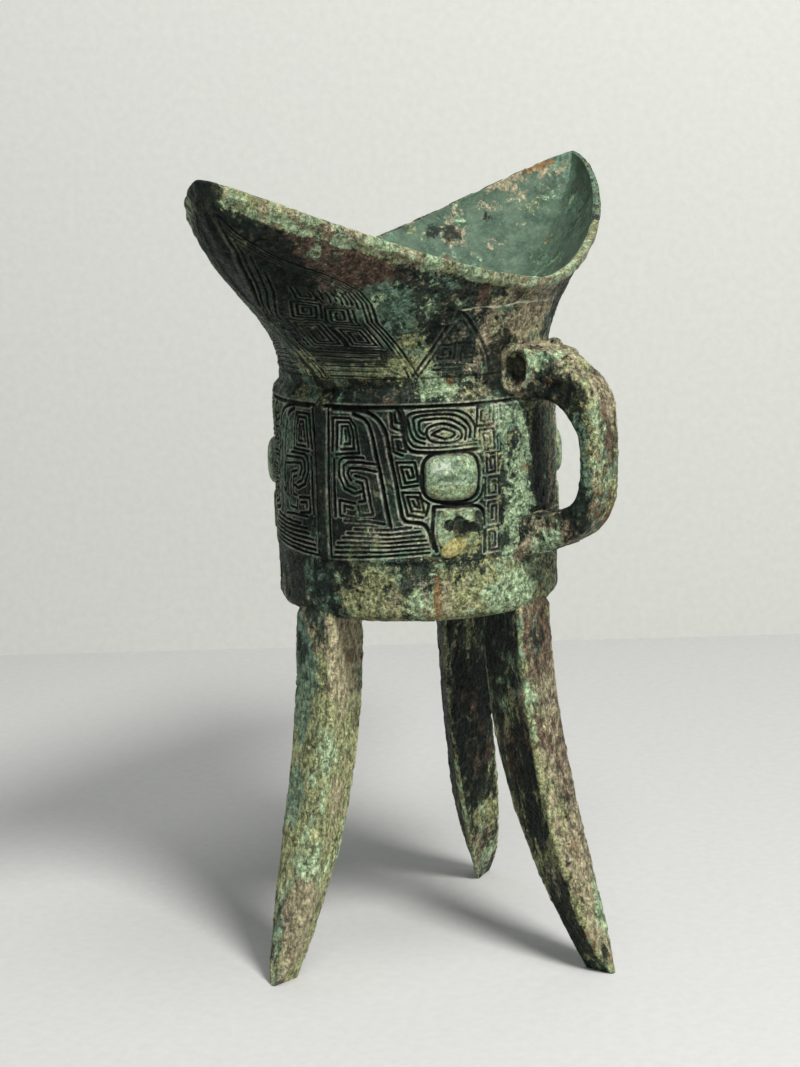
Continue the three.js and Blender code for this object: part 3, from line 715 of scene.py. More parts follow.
INNER_PATCHES = {
    "tan": [
        ((66, 14.5, 197.5), 7, 3, 0.9), ((75, 6, 201.5), 6, 3.4, 0.95), ((60, 16, 190), 7, 3, 0.6),
        ((57, 12, 181), 5, 2.5, 0.28), ((44, 20, 178), 4, 2.5, 0.4), ((52, 20, 184), 5, 2.5, 0.4),
        ((70, 9, 193), 4, 2, 0.3), ((-60, 15, 190), 9, 6, 0.6), ((-72, -4, 196), 7, 5, 0.5),
    ],
    "rust": [((70, 10, 200), 7, 2.5, 0.8), ((76, 4.7, 202.5), 5, 2.5, 0.8), ((62, 15, 189), 4, 3, 0.3),
             ((-64, 10, 195), 6, 4, 0.5)],
    "dark": [
        ((61, 13.5, 187.6), 3, 1.6, 0.5), ((50.5, 19.6, 183.5), 4, 2.5, 0.6),
        ((45, 23, 183.6), 2.5, 2, 0.6), ((-50, -18, 182), 9, 6, 0.5),
    ],
    "pale": [((50, 22, 188), 8, 4, 0.1), ((56, 4, 176), 9, 6, 0.05), ((-58, 0, 178), 12, 8, 0.4)],
    "olive": [((56, 19, 193), 7, 3, 0.3), ((44, 26, 184), 8, 4, 0.2), ((-40, -26, 182), 10, 5, 0.5)],
    "red": [((44, 18, 177), 5, 3, 0.55), ((-44, 20, 178), 7, 5, 0.5)],
}
# Each kind of patina, and the size of its blotches in millimetres
KINDS = {"olive": 13.0, "tan": 10.0, "red": 9.0, "teal": 15.0, "pale": 8.0, "rust": 7.0, "dark": 12.0}
OTHER_MARKS = ("groove", "crest", "smooth", "eye", "knob", "inner", "crack", "painted_glint")
# How much of each kind there is before the patches, in the order of the kinds
CUP_SHARES = (0.30, 0.16, 0.20, 0.26, 0.16, 0.02, 0.28)
INNER_SHARES = (0.06, 0.06, 0.02, 0.34, 0.06, 0.0, 0.04)
LEG_SHARES = (0.46, 0.28, 0.20, 0.14, 0.16, 0.06, 0.20)
HANDLE_SHARES = (0.38, 0.38, 0.18, 0.08, 0.18, 0.04, 0.20)
# How thick the crust of a kind stands
CRUSTS = {"pale": 0.13, "olive": 0.08, "tan": 0.12, "dark": 0.07}
# Patina runs down the wall, so its noise is stretched in height
RUNS = np.array([1, 1, 0.6])


def patch_middle(place):
    if len(place) == 3:
        return np.array(place)
    turn = math.radians(place[0])
    return np.array([CUP_RADIUS * math.cos(turn), CUP_RADIUS * math.sin(turn), place[1]])


def new_marks(shape):
    return {name: np.zeros(shape) for name in (*KINDS, *OTHER_MARKS)}


def add_patina(points, marks, patches, shares):
    """Adds to each kind's mark its own noise and the listed patches."""
    for number, ((kind, size), share) in enumerate(zip(KINDS.items(), shares)):
        total = share + 1.35 * (layered(points * RUNS, size, 41 + 7 * number, 4, 0.75) - 0.5)
        for place, wide, tall, strength in patches.get(kind, ()):
            gap = points - patch_middle(place)
            reach = (gap[..., 0] ** 2 + gap[..., 1] ** 2) / wide**2 + gap[..., 2] ** 2 / tall**2
            total = total + strength * np.exp(-reach)
        marks[kind] = np.clip(np.maximum(marks[kind], total), 0, 1)


def crust_rise(marks):
    """How thick the patches of corrosion stand, from their marks."""
    rise = 0
    for kind, thickness in CRUSTS.items():
        rise = rise + thickness * ease(0.48, 0.60, marks[kind])
    return rise * (1 - marks["smooth"])


def corrosion(points, strength=1.0):
    """How far the surface stands off its clean shape: swells, crusts and pits."""
    swell = 0.30 * (layered(points, 14.0, 71, 2) - 0.5)
    crust = 0.15 * ease(0.50, 0.62, layered(points, 3.2, 73, 3, 0.7))
    grain = 0.17 * (layered(points, 1.0, 79, 2, 0.8) - 0.5)
    pits = -0.26 * ease(0.68, 0.80, noise(points, 1.4, 83)) * ease(0.42, 0.58, noise(points, 9.0, 89))
    return strength * (swell + crust + grain + pits)


# The cup's wall above the neck, as in the solids
def mouth_rows(azimuths, depths, shares):
    azimuth, depth, share = azimuths[None, :], depths[:, None], shares[:, None]
    along = np.abs(np.cos(azimuth))
    outwards = along**WING_SPREAD
    set_back = depth + LIP_RISE
    reach = TIP_REACH - set_back * TIP_WALL_SEEN / WALL
    full = np.clip(1 - outwards**PLAN_POWER, 0, 1) ** PLAN_FULLNESS
    rim_x = np.sign(np.cos(azimuth)) * reach * outwards
    rim_y = np.sign(np.sin(azimuth)) * (MOUTH_HALF_WIDTH - set_back) * full
    rim_z = MOUTH_HEIGHT + (TIP_HEIGHT - MOUTH_HEIGHT) * outwards**PLAN_POWER
    wing = along**WING_SHARE
    start = blend(SIDE_START, WING_START, wing)
    end = blend(SIDE_END, WING_END, wing)
    spread = 1 - (1 - share**start) ** end
    neck = NECK_RADIUS - depth
    x = blend(neck * np.cos(azimuth), rim_x, spread)
    y = blend(neck * np.sin(azimuth), rim_y, spread)
    z = blend(NECK_HEIGHT, rim_z, share)
    return np.stack(np.broadcast_arrays(x, y, z), axis=-1)


def turned_rows(azimuths, radii, heights):
    x = radii[:, None] * np.cos(azimuths)[None, :]
    y = radii[:, None] * np.sin(azimuths)[None, :]
    return np.stack(np.broadcast_arrays(x, y, heights[:, None]), axis=-1)


def base_sag(reach, flat_radius=CUP_RADIUS - BASE_CORNER):
    """How far the base hangs down at this distance from the axis."""
    return BASE_SAG * (1 - np.minimum(reach / flat_radius, 1) ** SAG_POWER)


def base_profile(radius, floor, corner, rows):
    """Radii and heights from near the axis to the top of the base's round corner."""
    flat_rows, corner_rows = rows
    out = np.linspace(0.02, 1, flat_rows, endpoint=False) * (radius - corner)
    turn = np.linspace(0, np.pi / 2, corner_rows)
    radii = np.concatenate([out, radius - corner + corner * np.sin(turn)])
    flat = floor - base_sag(out, radius - corner)
    return radii, np.concatenate([flat, floor + corner - corner * np.cos(turn)])


def grid_normals(grid):
    across = np.roll(grid, -1, axis=1) - np.roll(grid, 1, axis=1)
    along = np.gradient(grid, axis=0)
    normal = np.cross(across, along)
    return normal / np.maximum(np.linalg.norm(normal, axis=-1, keepdims=True), 1e-9)


def grid_faces(rows, columns):
    row = np.arange(rows - 1)[:, None] * columns
    column = np.arange(columns)[None, :]
    after = (column + 1) % columns
    corners = [row + column, row + after, row + columns + after, row + columns + column]
    return np.stack(corners, axis=-1).reshape(-1, 4)


def end_caps(rows, columns, start=0):
    """The loops that close the first and the last ring of a grid."""
    ring = np.arange(columns)
    return [start + ring[::-1], start + (rows - 1) * columns + ring]


def make_piece(name, points, faces, marks, caps=()):
    """A smooth mesh from points about the cup's axis, with its marks on the vertices."""
    place = (points.reshape(-1, 3) + np.array([0, AXIS_Y, 0])) * MM
    place = np.clip(place, np.array(cad_low) + INSIDE_BOX, np.array(cad_high) - INSIDE_BOX)
    loops = np.concatenate([faces.reshape(-1), *caps])
    sizes = np.array([4] * len(faces) + [len(cap) for cap in caps])
    starts = np.concatenate([[0], np.cumsum(sizes)[:-1]])
    mesh = bpy.data.meshes.new(name)
    mesh.vertices.add(len(place))
    mesh.vertices.foreach_set("co", place.astype(np.float32).ravel())
    mesh.loops.add(len(loops))
    mesh.loops.foreach_set("vertex_index", loops.astype(np.int32))
    mesh.polygons.add(len(sizes))
    mesh.polygons.foreach_set("loop_start", starts.astype(np.int32))
    mesh.polygons.foreach_set("loop_total", sizes.astype(np.int32))
    mesh.polygons.foreach_set("use_smooth", np.ones(len(sizes), dtype=bool))
    mesh.update(calc_edges=True)
    mesh.validate()
    piece = bpy.data.objects.new(name, mesh)
    bpy.context.scene.collection.objects.link(piece)
    set_marks(piece, marks)
    return piece


def set_marks(piece, marks):
    for label, values in marks.items():
        attribute = piece.data.attributes.new(label, "FLOAT", "POINT")
        attribute.data.foreach_set("value", np.ascontiguousarray(values.ravel(), dtype=np.float32))


def stack_marks(parts):
    return {name: np.concatenate([part[name] for part in parts]) for name in parts[0]}


# What the wear of the rim adds on the seen wing, partly a painted highlight along the rim's top, and the
# darker, greener tone added on the far wing's rim
RIM_WEAR_AND_HIGHLIGHT = {"tan": 0.36, "olive": 0.4, "pale": 0.36, "dark": -0.5, "red": -0.6, "teal": -0.1}
FAR_RIM = {"tan": -0.3, "pale": -0.2, "teal": 0.3, "dark": 0.15}
# Points round the cup's skin, and rows of them on each part of it
CUP_COLUMNS = 1080
BASE_ROWS, CORNER_ROWS, PLAIN_ROWS, BAND_ROWS, NECK_ROWS = 36, 18, 36, 196, 14
MOUTH_ROWS, LIP_ROWS = 236, 14
INNER_MOUTH_ROWS, INNER_WALL_ROWS, FLOOR_ROWS, FLOOR_CORNER_ROWS = 100, 60, 20, 12
# The mouth's rows crowd towards the rim by this power, and the lip swells between these shares of them
MOUTH_CROWDING, LIP_START, LIP_FULL = 0.94, 0.93, 0.985
# The bead under the rim: how far down it lies, and its half width
BEAD_DROP, BEAD_HALF = 2.0, 1.8


def cup_lower(azimuths):
    """Rows up the outside, from the middle of the base to the neck."""
    rows = (count(BASE_ROWS), count(CORNER_ROWS))
    radii, heights = base_profile(CUP_RADIUS, LEG_HEIGHT, BASE_CORNER, rows)
    plain = np.linspace(LEG_HEIGHT + BASE_CORNER, BAND_BOTTOM - 0.6, count(PLAIN_ROWS))[1:]
    band = np.linspace(BAND_BOTTOM - 0.6, BAND_TOP + 0.4, count(BAND_ROWS))[1:]
    neck = np.linspace(BAND_TOP + 0.4, NECK_HEIGHT, count(NECK_ROWS), endpoint=False)[1:]
    neck_radii = blend(CUP_RADIUS, NECK_RADIUS, ease(BAND_TOP, NECK_HEIGHT, neck))
    radii = np.concatenate([radii, np.full(len(plain) + len(band), CUP_RADIUS), neck_radii])
    return turned_rows(azimuths, radii, np.concatenate([heights, plain, band, neck]))


def cup_within(azimuths):
    """Rows down the inside, from the lip to the middle of the floor."""
    shares = np.linspace(1, 0, count(INNER_MOUTH_ROWS))
    inner = mouth_rows(azimuths, blend(WALL, LIP_DEPTH, ease(0.8, 1.0, shares)), shares)
    inner[..., 2] -= LIP_CROWN * ease(0.96, 1.0, shares)[:, None]
    floor, corner = LEG_HEIGHT + BASE_THICKNESS, BASE_CORNER - WALL * 0.6
    rows = (count(FLOOR_ROWS), count(FLOOR_CORNER_ROWS))
    radii, heights = base_profile(CUP_RADIUS - WALL, floor, corner, rows)
    down = np.linspace(NECK_HEIGHT, floor + corner, count(INNER_WALL_ROWS))[1:-1]
    down_radii = blend(CUP_RADIUS - WALL, NECK_RADIUS - WALL, ease(BAND_TOP, NECK_HEIGHT, down))
    radii, heights = np.concatenate([down_radii, radii[::-1]]), np.concatenate([down, heights[::-1]])
    return np.concatenate([inner, turned_rows(azimuths, radii, heights)])


def rim_marks(grid, upper, mouth, rim, marks):
    """Adds the wear of the rim to the marks, with a painted highlight along the rim's top, and the darker
    tone of the far wing's rim. It returns how much of the bead and of the rim a place has.
    """
    steps = np.linalg.norm(np.diff(upper, axis=0), axis=-1)
    from_rim = np.concatenate([steps[::-1].cumsum(axis=0)[::-1], np.zeros((1, grid.shape[1]))])
    bead, at_rim = np.zeros(grid.shape[:2]), np.zeros(grid.shape[:2])
    bead[mouth] = np.exp(-(((from_rim - BEAD_DROP) / BEAD_HALF) ** 2))
    at_rim[mouth] = ease(5.2, 2.2, from_rim - blend(2.4, 0, ease(-40, -10, upper[..., 0])))
    at_rim[rim] = 1
    lay(marks, "smooth", 0.5 * at_rim)
    off_tip = ease(TIP_REACH - 0.5, TIP_REACH - 4, np.abs(grid[..., 0]))
    shift(marks, RIM_WEAR_AND_HIGHLIGHT, at_rim * (off_tip * blend(1, 0.35, ease(18, 44, grid[..., 0]))))
    shift(marks, FAR_RIM, ease(44, 60, grid[..., 0]) * at_rim)
    return bead, at_rim


def cup_roughness(grid, near_rim, mouth, rim, inside, marks):
    """How far corrosion moves the cup's skin: less inside, on smooth places and at the rim."""
    calm, hold = np.ones((len(grid), 1)), np.zeros((len(grid), 1))
    calm[inside] = 0.5
    calm[mouth, 0] = 1 - 0.3 * near_rim
    hold[mouth, 0] = near_rim
    hold[rim] = 1
    rough = (corrosion(grid) + crust_rise(marks)) * calm * (1 - 0.75 * marks["smooth"])
    return blend(rough, -np.abs(rough) - 0.04, hold)


def cup_piece():
    """One closed skin: rows up the outside, over the lip, and down the inside."""
    columns = count(CUP_COLUMNS) // 4 * 4
    azimuths = np.arange(columns) / columns * FULL_TURN
    lower = cup_lower(azimuths)
    lower_marks = new_marks(lower.shape[:2])
    relief = band_relief(lower, lower_marks)

    climb = np.linspace(0, 1, count(MOUTH_ROWS))
    shares = climb**MOUTH_CROWDING
    upper = mouth_rows(azimuths, -LIP_RISE * ease(LIP_START, LIP_FULL, shares), shares)
    upper_marks = new_marks(upper.shape[:2])
    upper_relief = wing_relief(upper, azimuths, upper_marks)
    upper[..., 2] -= LIP_CROWN * ease(0.98, 1.0, shares)[:, None]

    across = np.linspace(0, 1, count(LIP_ROWS))[1:-1]
    lip = mouth_rows(azimuths, blend(-LIP_RISE, LIP_DEPTH, across), np.ones(len(across)))
    lip[..., 2] += LIP_CROWN * (1 - (2 * across - 1) ** 2)[:, None] - LIP_CROWN
    within = cup_within(azimuths)

    grid = np.concatenate([lower, upper, lip, within])
    marks = stack_marks([lower_marks, upper_marks, new_marks(lip.shape[:2]), new_marks(within.shape[:2])])
    mouth = slice(len(lower), len(lower) + len(upper))
    rim = slice(mouth.stop, mouth.stop + len(lip))
    outside, inside = slice(0, rim.stop), slice(rim.stop, len(grid))
    sides = ((outside, OUTER_PATCHES, CUP_SHARES), (inside, INNER_PATCHES, INNER_SHARES))
    for rows, patches, amounts in sides:
        part = {name: values[rows] for name, values in marks.items()}
        add_patina(grid[rows], part, patches, amounts)
        for name, values in part.items():
            marks[name][rows] = values
    shift(marks, {"dark": -0.9}, marks["smooth"] * (grid[..., 2] < BAND_TOP))
    marks["crest"] = marks["crest"] * (1 - 0.55 * ease(0.3, 0.7, marks["dark"]))

    bead, at_rim = rim_marks(grid, upper, mouth, rim, marks)
    marks["smooth"][inside] = 0.6
    marks["inner"][inside] = 1

    rough = cup_roughness(grid, ease(0.9, 1.0, climb), mouth, rim, inside, marks)
    offset = np.zeros(grid.shape[:2])
    offset[:len(lower)] = relief
    offset[mouth] = upper_relief
    near_tip = ease(TIP_REACH - 6, TIP_REACH - 1, np.abs(grid[..., 0]))
    offset = offset + bead * blend(BEAD_RISE, 0, near_tip) * blend(0.6, 1.3, noise(grid, 5.0, 95))
    offset = offset - CHIP_DEPTH * (ease(0.56, 0.72, layered(grid, 2.6, 97, 2)) * at_rim)
    grid = grid + grid_normals(grid) * (offset + rough)[..., None]
    rows = len(grid)
    return make_piece("cup_body", grid, grid_faces(rows, columns), marks, end_caps(rows, columns))


# The legs: each a three-sided blade, as in the solids
LEG_COLUMNS, LEG_ROWS, LEG_ROOT_ROWS = 176, 300, 60
# The rows crowd towards the foot by this power, and the top ends inside the base, drawn in by this much
LEG_CROWDING, LEG_TOP, LEG_SETTLE = 1.12, LEG_HEIGHT + 4.4, 1.5


def leg_rows(heights, splay, inset, columns, settle):
    """Rings of a three-sided blade. Settle draws its top in under the wall."""
    rings = []
    for height, drawn in zip(heights, settle):
        bend = max(0.0, (LEG_HEIGHT - height) / LEG_HEIGHT)
        face = LEG_FACE + splay * bend**LEG_BEND - inset - drawn
        ridge = LEG_RIDGE + (splay + RIDGE_SPLAY) * bend**RIDGE_BEND + inset * 1.9
        half = LEG_WIDTH / 2 * (1 - math.exp(-(height + FOOT_TIP) / FOOT_TAPER)) - inset * 1.2 - drawn
        corner = min(1.2, half * 0.3)
        side = [(face + 0.05, 0), (face - 0.2 * corner, half * 0.6), (face - 0.8 * corner, half * 0.97),
                (face - 2.2 * corner, half * 0.96), (blend(face, ridge, 0.55), half * 0.5),
                (ridge + 0.9 * corner, corner * 0.75)]
        outline = np.array([*side, (ridge + 0.1, 0), *((x, -y) for x, y in side[:0:-1])])
        for _ in range(2):
            after = np.roll(outline, -1, axis=0)
            cut = [0.75 * outline + 0.25 * after, 0.25 * outline + 0.75 * after]
            outline = np.stack(cut, axis=1).reshape(-1, 2)
        closed = np.vstack([outline, outline[:1]])
        length = np.concatenate([[0], np.linalg.norm(np.diff(closed, axis=0), axis=1).cumsum()])
        even = np.linspace(0, length[-1], columns, endpoint=False)
        x, y = (np.interp(even, length, closed[:, k]) for k in (0, 1))
        rings.append(np.stack([x, y, np.full(columns, height)], axis=-1))
    return np.array(rings)


# What each leg shows, by its own outer face, its two sides, and its height
LEG_PATCHES = {
    "leg_left": {
        "teal": [((-35, 13, 80), 5.5, 14, 1.2), ((-40, 14, 47), 3.5, 7, 1.0),
                 ((-48, 14, 10), 3.5, 12, 0.6)],
        "dark": [((-35, 13, 86), 6, 10, 0.3), ((-39, 14, 47), 3, 4, 0.3), ((-47, 6, 16), 8, 12, -0.3),
                 ((-39, 6, 56), 7, 16, -0.3)],
        "rust": [((-34, 8.5, 80), 2.2, 6, 1.1)],
        "olive": [((-38, 9, 60), 7, 14, 1.0), ((-42, 11, 34), 6, 10, 1.0), ((-39, 3, 58), 6, 14, 1.0),
                  ((-35, 14, 82), 5, 12, -0.5), ((-32, 1, 85), 7, 12, -0.2)],
        "tan": [((-48, 6, 16), 6, 12, 1.3), ((-31, -1, 83), 8.5, 14, 1.3), ((-34, 4, 46), 3.5, 7, 0.5),
                ((-38, 7, 58), 9, 14, -0.3), ((-43, 10, 36), 6, 8, -0.3)],
        "red": [((-42, 8, 48), 12, 30, -0.2), ((-48, 6, 12), 8, 12, -0.3), ((-31, -1, 83), 9, 14, -0.3)],
        "pale": [((-48, 14, 14), 3.5, 12, 0.35), ((-38, 4, 62), 5, 10, 0.4), ((-42, 6, 38), 5, 10, 0.4)],
    },
    "leg_handle_side": {
        "olive": [((-7, -46, 60), 5, 30, 0.75), ((-3, -55, 12), 8, 12, 0.8)],
        "pale": [((-7, -40, 75), 4, 10, 0.55), ((-6, -48, 44), 3, 8, 0.5), ((3, -51, 17), 5, 9, 0.4)],
        "red": [((0, -38, 86), 9, 12, 0.5), ((3, -45, 55), 8, 18, 0.35), ((-4, -33, 60), 8, 14, 0.4)],
        "tan": [((2, -42, 78), 7, 9, 0.5), ((1, -42, 56), 7, 12, 0.4), ((3, -50, 36), 7, 12, 0.5)],
        "dark": [((7, -42, 68), 4, 16, 0.4), ((-4, -29, 86), 8, 10, 0.5), ((-4, -36, 45), 5, 16, 0.25)],
    },
    "leg_right": {
        # The dark over the whole back leg is partly its dark patina and partly painted shade under the cup.
        "dark": [((26, 7, 55), 16, 50, 0.34)],
        "red": [((32, 9, 50), 9, 20, 0.4)],
        "pale": [((46, 9, 8), 6, 7, 0.4)],
        "olive": [((42, 6, 24), 8, 12, 0.3)],
    },
}


# What each leg adds on its outer face and on the sides to the left and right of it, and on its edges, which
# are lighter partly as wear and partly as a painted highlight
FACE_PATINA = {
    "leg_left": {
        "outer": {"teal": 0.1, "olive": 0.1},
        "right": {"tan": 0.06, "olive": 0.3, "dark": -0.2},
    },
    "leg_handle_side": {
        "outer": {"tan": 0.26, "rust": 0.1},
        "left": {"teal": 0.2, "dark": 0.2, "olive": -0.1},
    },
    "leg_right": {
        "left": {"dark": 0.14, "olive": -0.2},
        "right": {"dark": 0.14, "olive": -0.2, "tan": -0.06},
    },
}
EDGE_WEAR_AND_HIGHLIGHT = {"olive": 0.34, "pale": 0.16, "dark": -0.3, "red": -0.15}
# The pale worn patch low on the left leg: its middle, its reach, and what it clears away
FOOT_PATCH, FOOT_PATCH_REACH = np.array([-48, 6, 16]), np.array([6, 6, 12])
CLEARED = ("teal", "dark", "red", "pale", "rust")


def face_marks(node, normals, azimuth, marks):
    """Adds what belongs to each face of a leg, and the lighter tone of its edges, partly wear and partly a
    painted highlight.
    """
    turn = math.radians(azimuth)
    out = normals @ np.array([math.cos(turn), math.sin(turn), 0])
    right = normals @ np.array([-math.sin(turn), math.cos(turn), 0])
    faces = {"outer": ease(0.55, 0.85, out), "right": ease(0.3, 0.7, right), "left": ease(0.3, 0.7, -right)}
    for face, changes in FACE_PATINA[node].items():
        for kind, change in changes.items():
            marks[kind] = marks[kind] + change * faces[face]
    bend = np.linalg.norm(np.roll(normals, 3, axis=1) - np.roll(normals, -3, axis=1), axis=-1)
    edge = ease(0.3, 0.9, bend)
    for kind, change in EDGE_WEAR_AND_HIGHLIGHT.items():
        marks[kind] = marks[kind] + change * edge
    for kind in KINDS:
        marks[kind] = np.clip(marks[kind], 0, 1)


def leg_piece(node):
    azimuth, splay = LEGS[node]
    columns = count(LEG_COLUMNS)
    heights = np.linspace(0, 1, count(LEG_ROWS)) ** LEG_CROWDING * LEG_TOP
    settle = LEG_SETTLE * ease(LEG_HEIGHT - LEG_SETTLE, LEG_TOP, heights)
    outer = leg_rows(heights, splay, 0, columns, settle)
    root = np.linspace(LEG_TOP, LEG_HEIGHT - CORE_DEPTH, count(LEG_ROOT_ROWS))
    inner = leg_rows(root, splay, CORE_WALL - 0.15, columns, np.zeros(len(root)))
    grid = np.concatenate([outer, inner]) @ spin(azimuth)
    marks = new_marks(grid.shape[:2])
    add_patina(grid, marks, LEG_PATCHES[node], LEG_SHARES)
    face_marks(node, grid_normals(grid), azimuth, marks)
    if node == "leg_left":
        from_patch = np.linalg.norm((grid - FOOT_PATCH) / FOOT_PATCH_REACH, axis=-1)
        marks["smooth"] = 0.8 * ease(1.2, 0.6, from_patch)
        for kind in CLEARED:
            marks[kind] = marks[kind] * (1 - 0.7 * ease(1.3, 0.8, from_patch))

    streaks = layered(grid * np.array([1, 1, 0.45]), 6.0, 91, 2) - 0.5
    rough = 1.15 * corrosion(grid) + crust_rise(marks) - 0.1 + 0.35 * streaks
    rough = rough * ease(-0.5, 4, grid[..., 2])
    rough[len(outer):] = 0
    grid = grid + grid_normals(grid) * rough[..., None]
    reach = np.hypot(grid[..., 0], grid[..., 1])
    roof = LEG_HEIGHT - base_sag(reach) + 0.5 * BASE_THICKNESS
    roof = roof + 5 * ease(CUP_RADIUS - 6, CUP_RADIUS - 3, reach)
    grid[..., 2] = np.clip(grid[..., 2], 0, roof)
    rows = len(grid)
    return make_piece(node + "_blade", grid, grid_faces(rows, columns), marks, end_caps(rows, columns))


# The handle: a strap between an outer and an inner curve, with the ox head on its upper root
STRAP_STEPS = (16, 70, 80, 70, 50)
STRAP_COLUMNS, STRAP_POWER = 96, 0.26


def bezier(a, b, c, d, steps):
    t = np.linspace(0, 1, steps, endpoint=False)[:, None]
    a, b, c, d = (np.array(point) for point in (a, b, c, d))
    return a * (1 - t) ** 3 + 3 * b * t * (1 - t) ** 2 + 3 * c * t**2 * (1 - t) + d * t**3


def straight(a, b, steps):
    t = np.linspace(0, 1, steps, endpoint=False)[:, None]
    return np.array(a) * (1 - t) + np.array(b) * t


def strap_edge(start, controls, end):
    """One edge of the strap: straight to the first of ten control points, three curves through them, and
    straight to its end."""
    parts = [straight(start, controls[0], STRAP_STEPS[0])]
    for first, steps in zip((0, 3, 6), STRAP_STEPS[1:4]):
        parts.append(bezier(*controls[first:first + 4], steps))
    return np.concatenate([*parts, straight(controls[-1], end, STRAP_STEPS[4])])


def strap_edges():
    """The strap's outer and inner edges in the plane of the cup's axis, as distance and height."""
    reach, grip = HANDLE_REACH, HANDLE_REACH - HANDLE_THICKNESS
    middle = (GAP_TOP + GAP_BOTTOM) / 2
    inwards = NECK_RADIUS - WALL / 2
    outer = strap_edge((inwards, HANDLE_TOP), [
        (CUP_RADIUS + 2, HANDLE_TOP), (reach - 9, HANDLE_TOP - 1), (reach - 0.4, HANDLE_TOP - 7.6),
        (reach - 0.6, GAP_TOP - 4), (reach, middle + 6), (reach, middle - 2),
        (reach - 1, GAP_BOTTOM + 4), (reach - 2.6, GAP_BOTTOM - 3), (reach - 6, HANDLE_BOTTOM + 5.4),
        (reach - 13, HANDLE_BOTTOM + 2.4),
    ], (inwards, HANDLE_BOTTOM - 0.4))
    inner = strap_edge((inwards, GAP_TOP), [
        (CUP_RADIUS + 3, GAP_TOP), (grip - 8, GAP_TOP), (grip - 4, GAP_TOP - 2),
        (grip - 1.6, GAP_TOP - 7), (grip, middle + 6), (grip + 0.2, middle),
        (grip - 0.4, middle - 5), (grip - 1.5, GAP_BOTTOM + 4), (grip - 3, GAP_BOTTOM + 2),
        (CUP_RADIUS + 4, GAP_BOTTOM),
    ], (inwards, GAP_BOTTOM - 1.2))
    return outer, inner


def strap_grid():
    step = 1
    outer, inner = (edge[::step] for edge in strap_edges())
    turn = np.linspace(0, FULL_TURN, STRAP_COLUMNS, endpoint=False)
    wide, thick = (np.sign(side) * np.abs(side) ** STRAP_POWER for side in (np.sin(turn), np.cos(turn)))
    middle, half = (outer + inner) / 2, (outer - inner) / 2
    root = np.exp(-np.clip(middle[:, :1] - CUP_RADIUS, 0, None) / ROOT_REACH)
    half = half * (1 + 0.2 * root)
    flat = middle[:, None, :] + half[:, None, :] * thick[None, :, None]
    across = HANDLE_HALF * wide[None, :] * (1 + 0.25 * root)
    return np.stack([across, -flat[..., 0], flat[..., 1]], axis=-1)


def ball(middle, radii, rings=24):
    up = np.linspace(0.02, np.pi - 0.02, rings)[::-1, None]
    turn = np.linspace(0, FULL_TURN, 2 * rings, endpoint=False)[None, :]
    unit = np.broadcast_arrays(np.sin(up) * np.cos(turn), np.sin(up) * np.sin(turn), np.cos(up))
    return np.stack(unit, axis=-1) * np.array(radii) + np.array(middle)


def tube(path, radii, columns=20):
    """A tube round a path, whose radius changes along it."""
    path, radii = np.array(path, dtype=float), np.array(radii, dtype=float)
    along = np.gradient(path, axis=0)
    along /= np.linalg.norm(along, axis=1, keepdims=True)
    side = np.cross(along, np.array([0.31, 0.87, 0.38]))
    side /= np.linalg.norm(side, axis=1, keepdims=True)
    other = np.cross(along, side)
    turn = np.linspace(0, FULL_TURN, columns, endpoint=False)
    ring = side[:, None] * np.cos(turn)[None, :, None] + other[:, None] * np.sin(turn)[None, :, None]
    return path[:, None] + ring * radii[:, None, None]


# Each ear is a ring with a hollow in it: its middle, how far it reaches along the head, and up
EAR_MIDDLE = (8.2, -36.2, 155.4)
EAR_LONG, EAR_TALL, EAR_THICK = 3.2, 5.2, 1.35
EAR_TURN = math.radians(22)


def ear_parts(side):
    """A ring, and the thinner hollow disc that fills it."""
    turn = np.linspace(0, FULL_TURN, 44)
    x, y, z = side * EAR_MIDDLE[0], EAR_MIDDLE[1], EAR_MIDDLE[2]
    out, back = EAR_LONG * math.sin(EAR_TURN), EAR_LONG * math.cos(EAR_TURN)
    ring = [(x + side * (out * math.cos(t) - 0.7 * math.cos(2 * t)),
             y + back * math.cos(t) - 0.9 * math.sin(t),
             z + EAR_TALL * math.sin(t)) for t in turn]
    thickness = EAR_THICK + 0.3 * np.sin(2 * turn + 1) + 0.3 * np.sin(3 * turn + side)
    return [tube(ring, thickness), ball((x - side * 2.0, y, z), (2.2, EAR_LONG, EAR_TALL), 14)]


def horn_part(side):
    curl = np.linspace(0.2, 3.6, 30)
    path = [(side * (3.6 + 0.9 * t), -41.6 + 3.0 * math.cos(t + 0.6),
             HANDLE_TOP - 1.9 + 1.2 * math.sin(t + 0.6)) for t in curl]
    return tube(path, np.linspace(1.2, 0.7, len(curl)))


def head_parts():
    """The ox head's skull, muzzle, ring ears, horns and eyes, as closed grids."""
    parts = [
        ball((0, -37.0, HANDLE_TOP - 3.6), (7.5, 6.5, 5.2)),
        ball((0, -43.0, HANDLE_TOP - 5.6), (7.3, 8.5, 5.5)),
    ]
    for side in (-1, 1):
        parts += [*ear_parts(side), horn_part(side)]
        parts.append(ball((side * 6.4, -47.2, HANDLE_TOP - 6.2), (0.9, 2.0, 1.5), 12))
    return parts


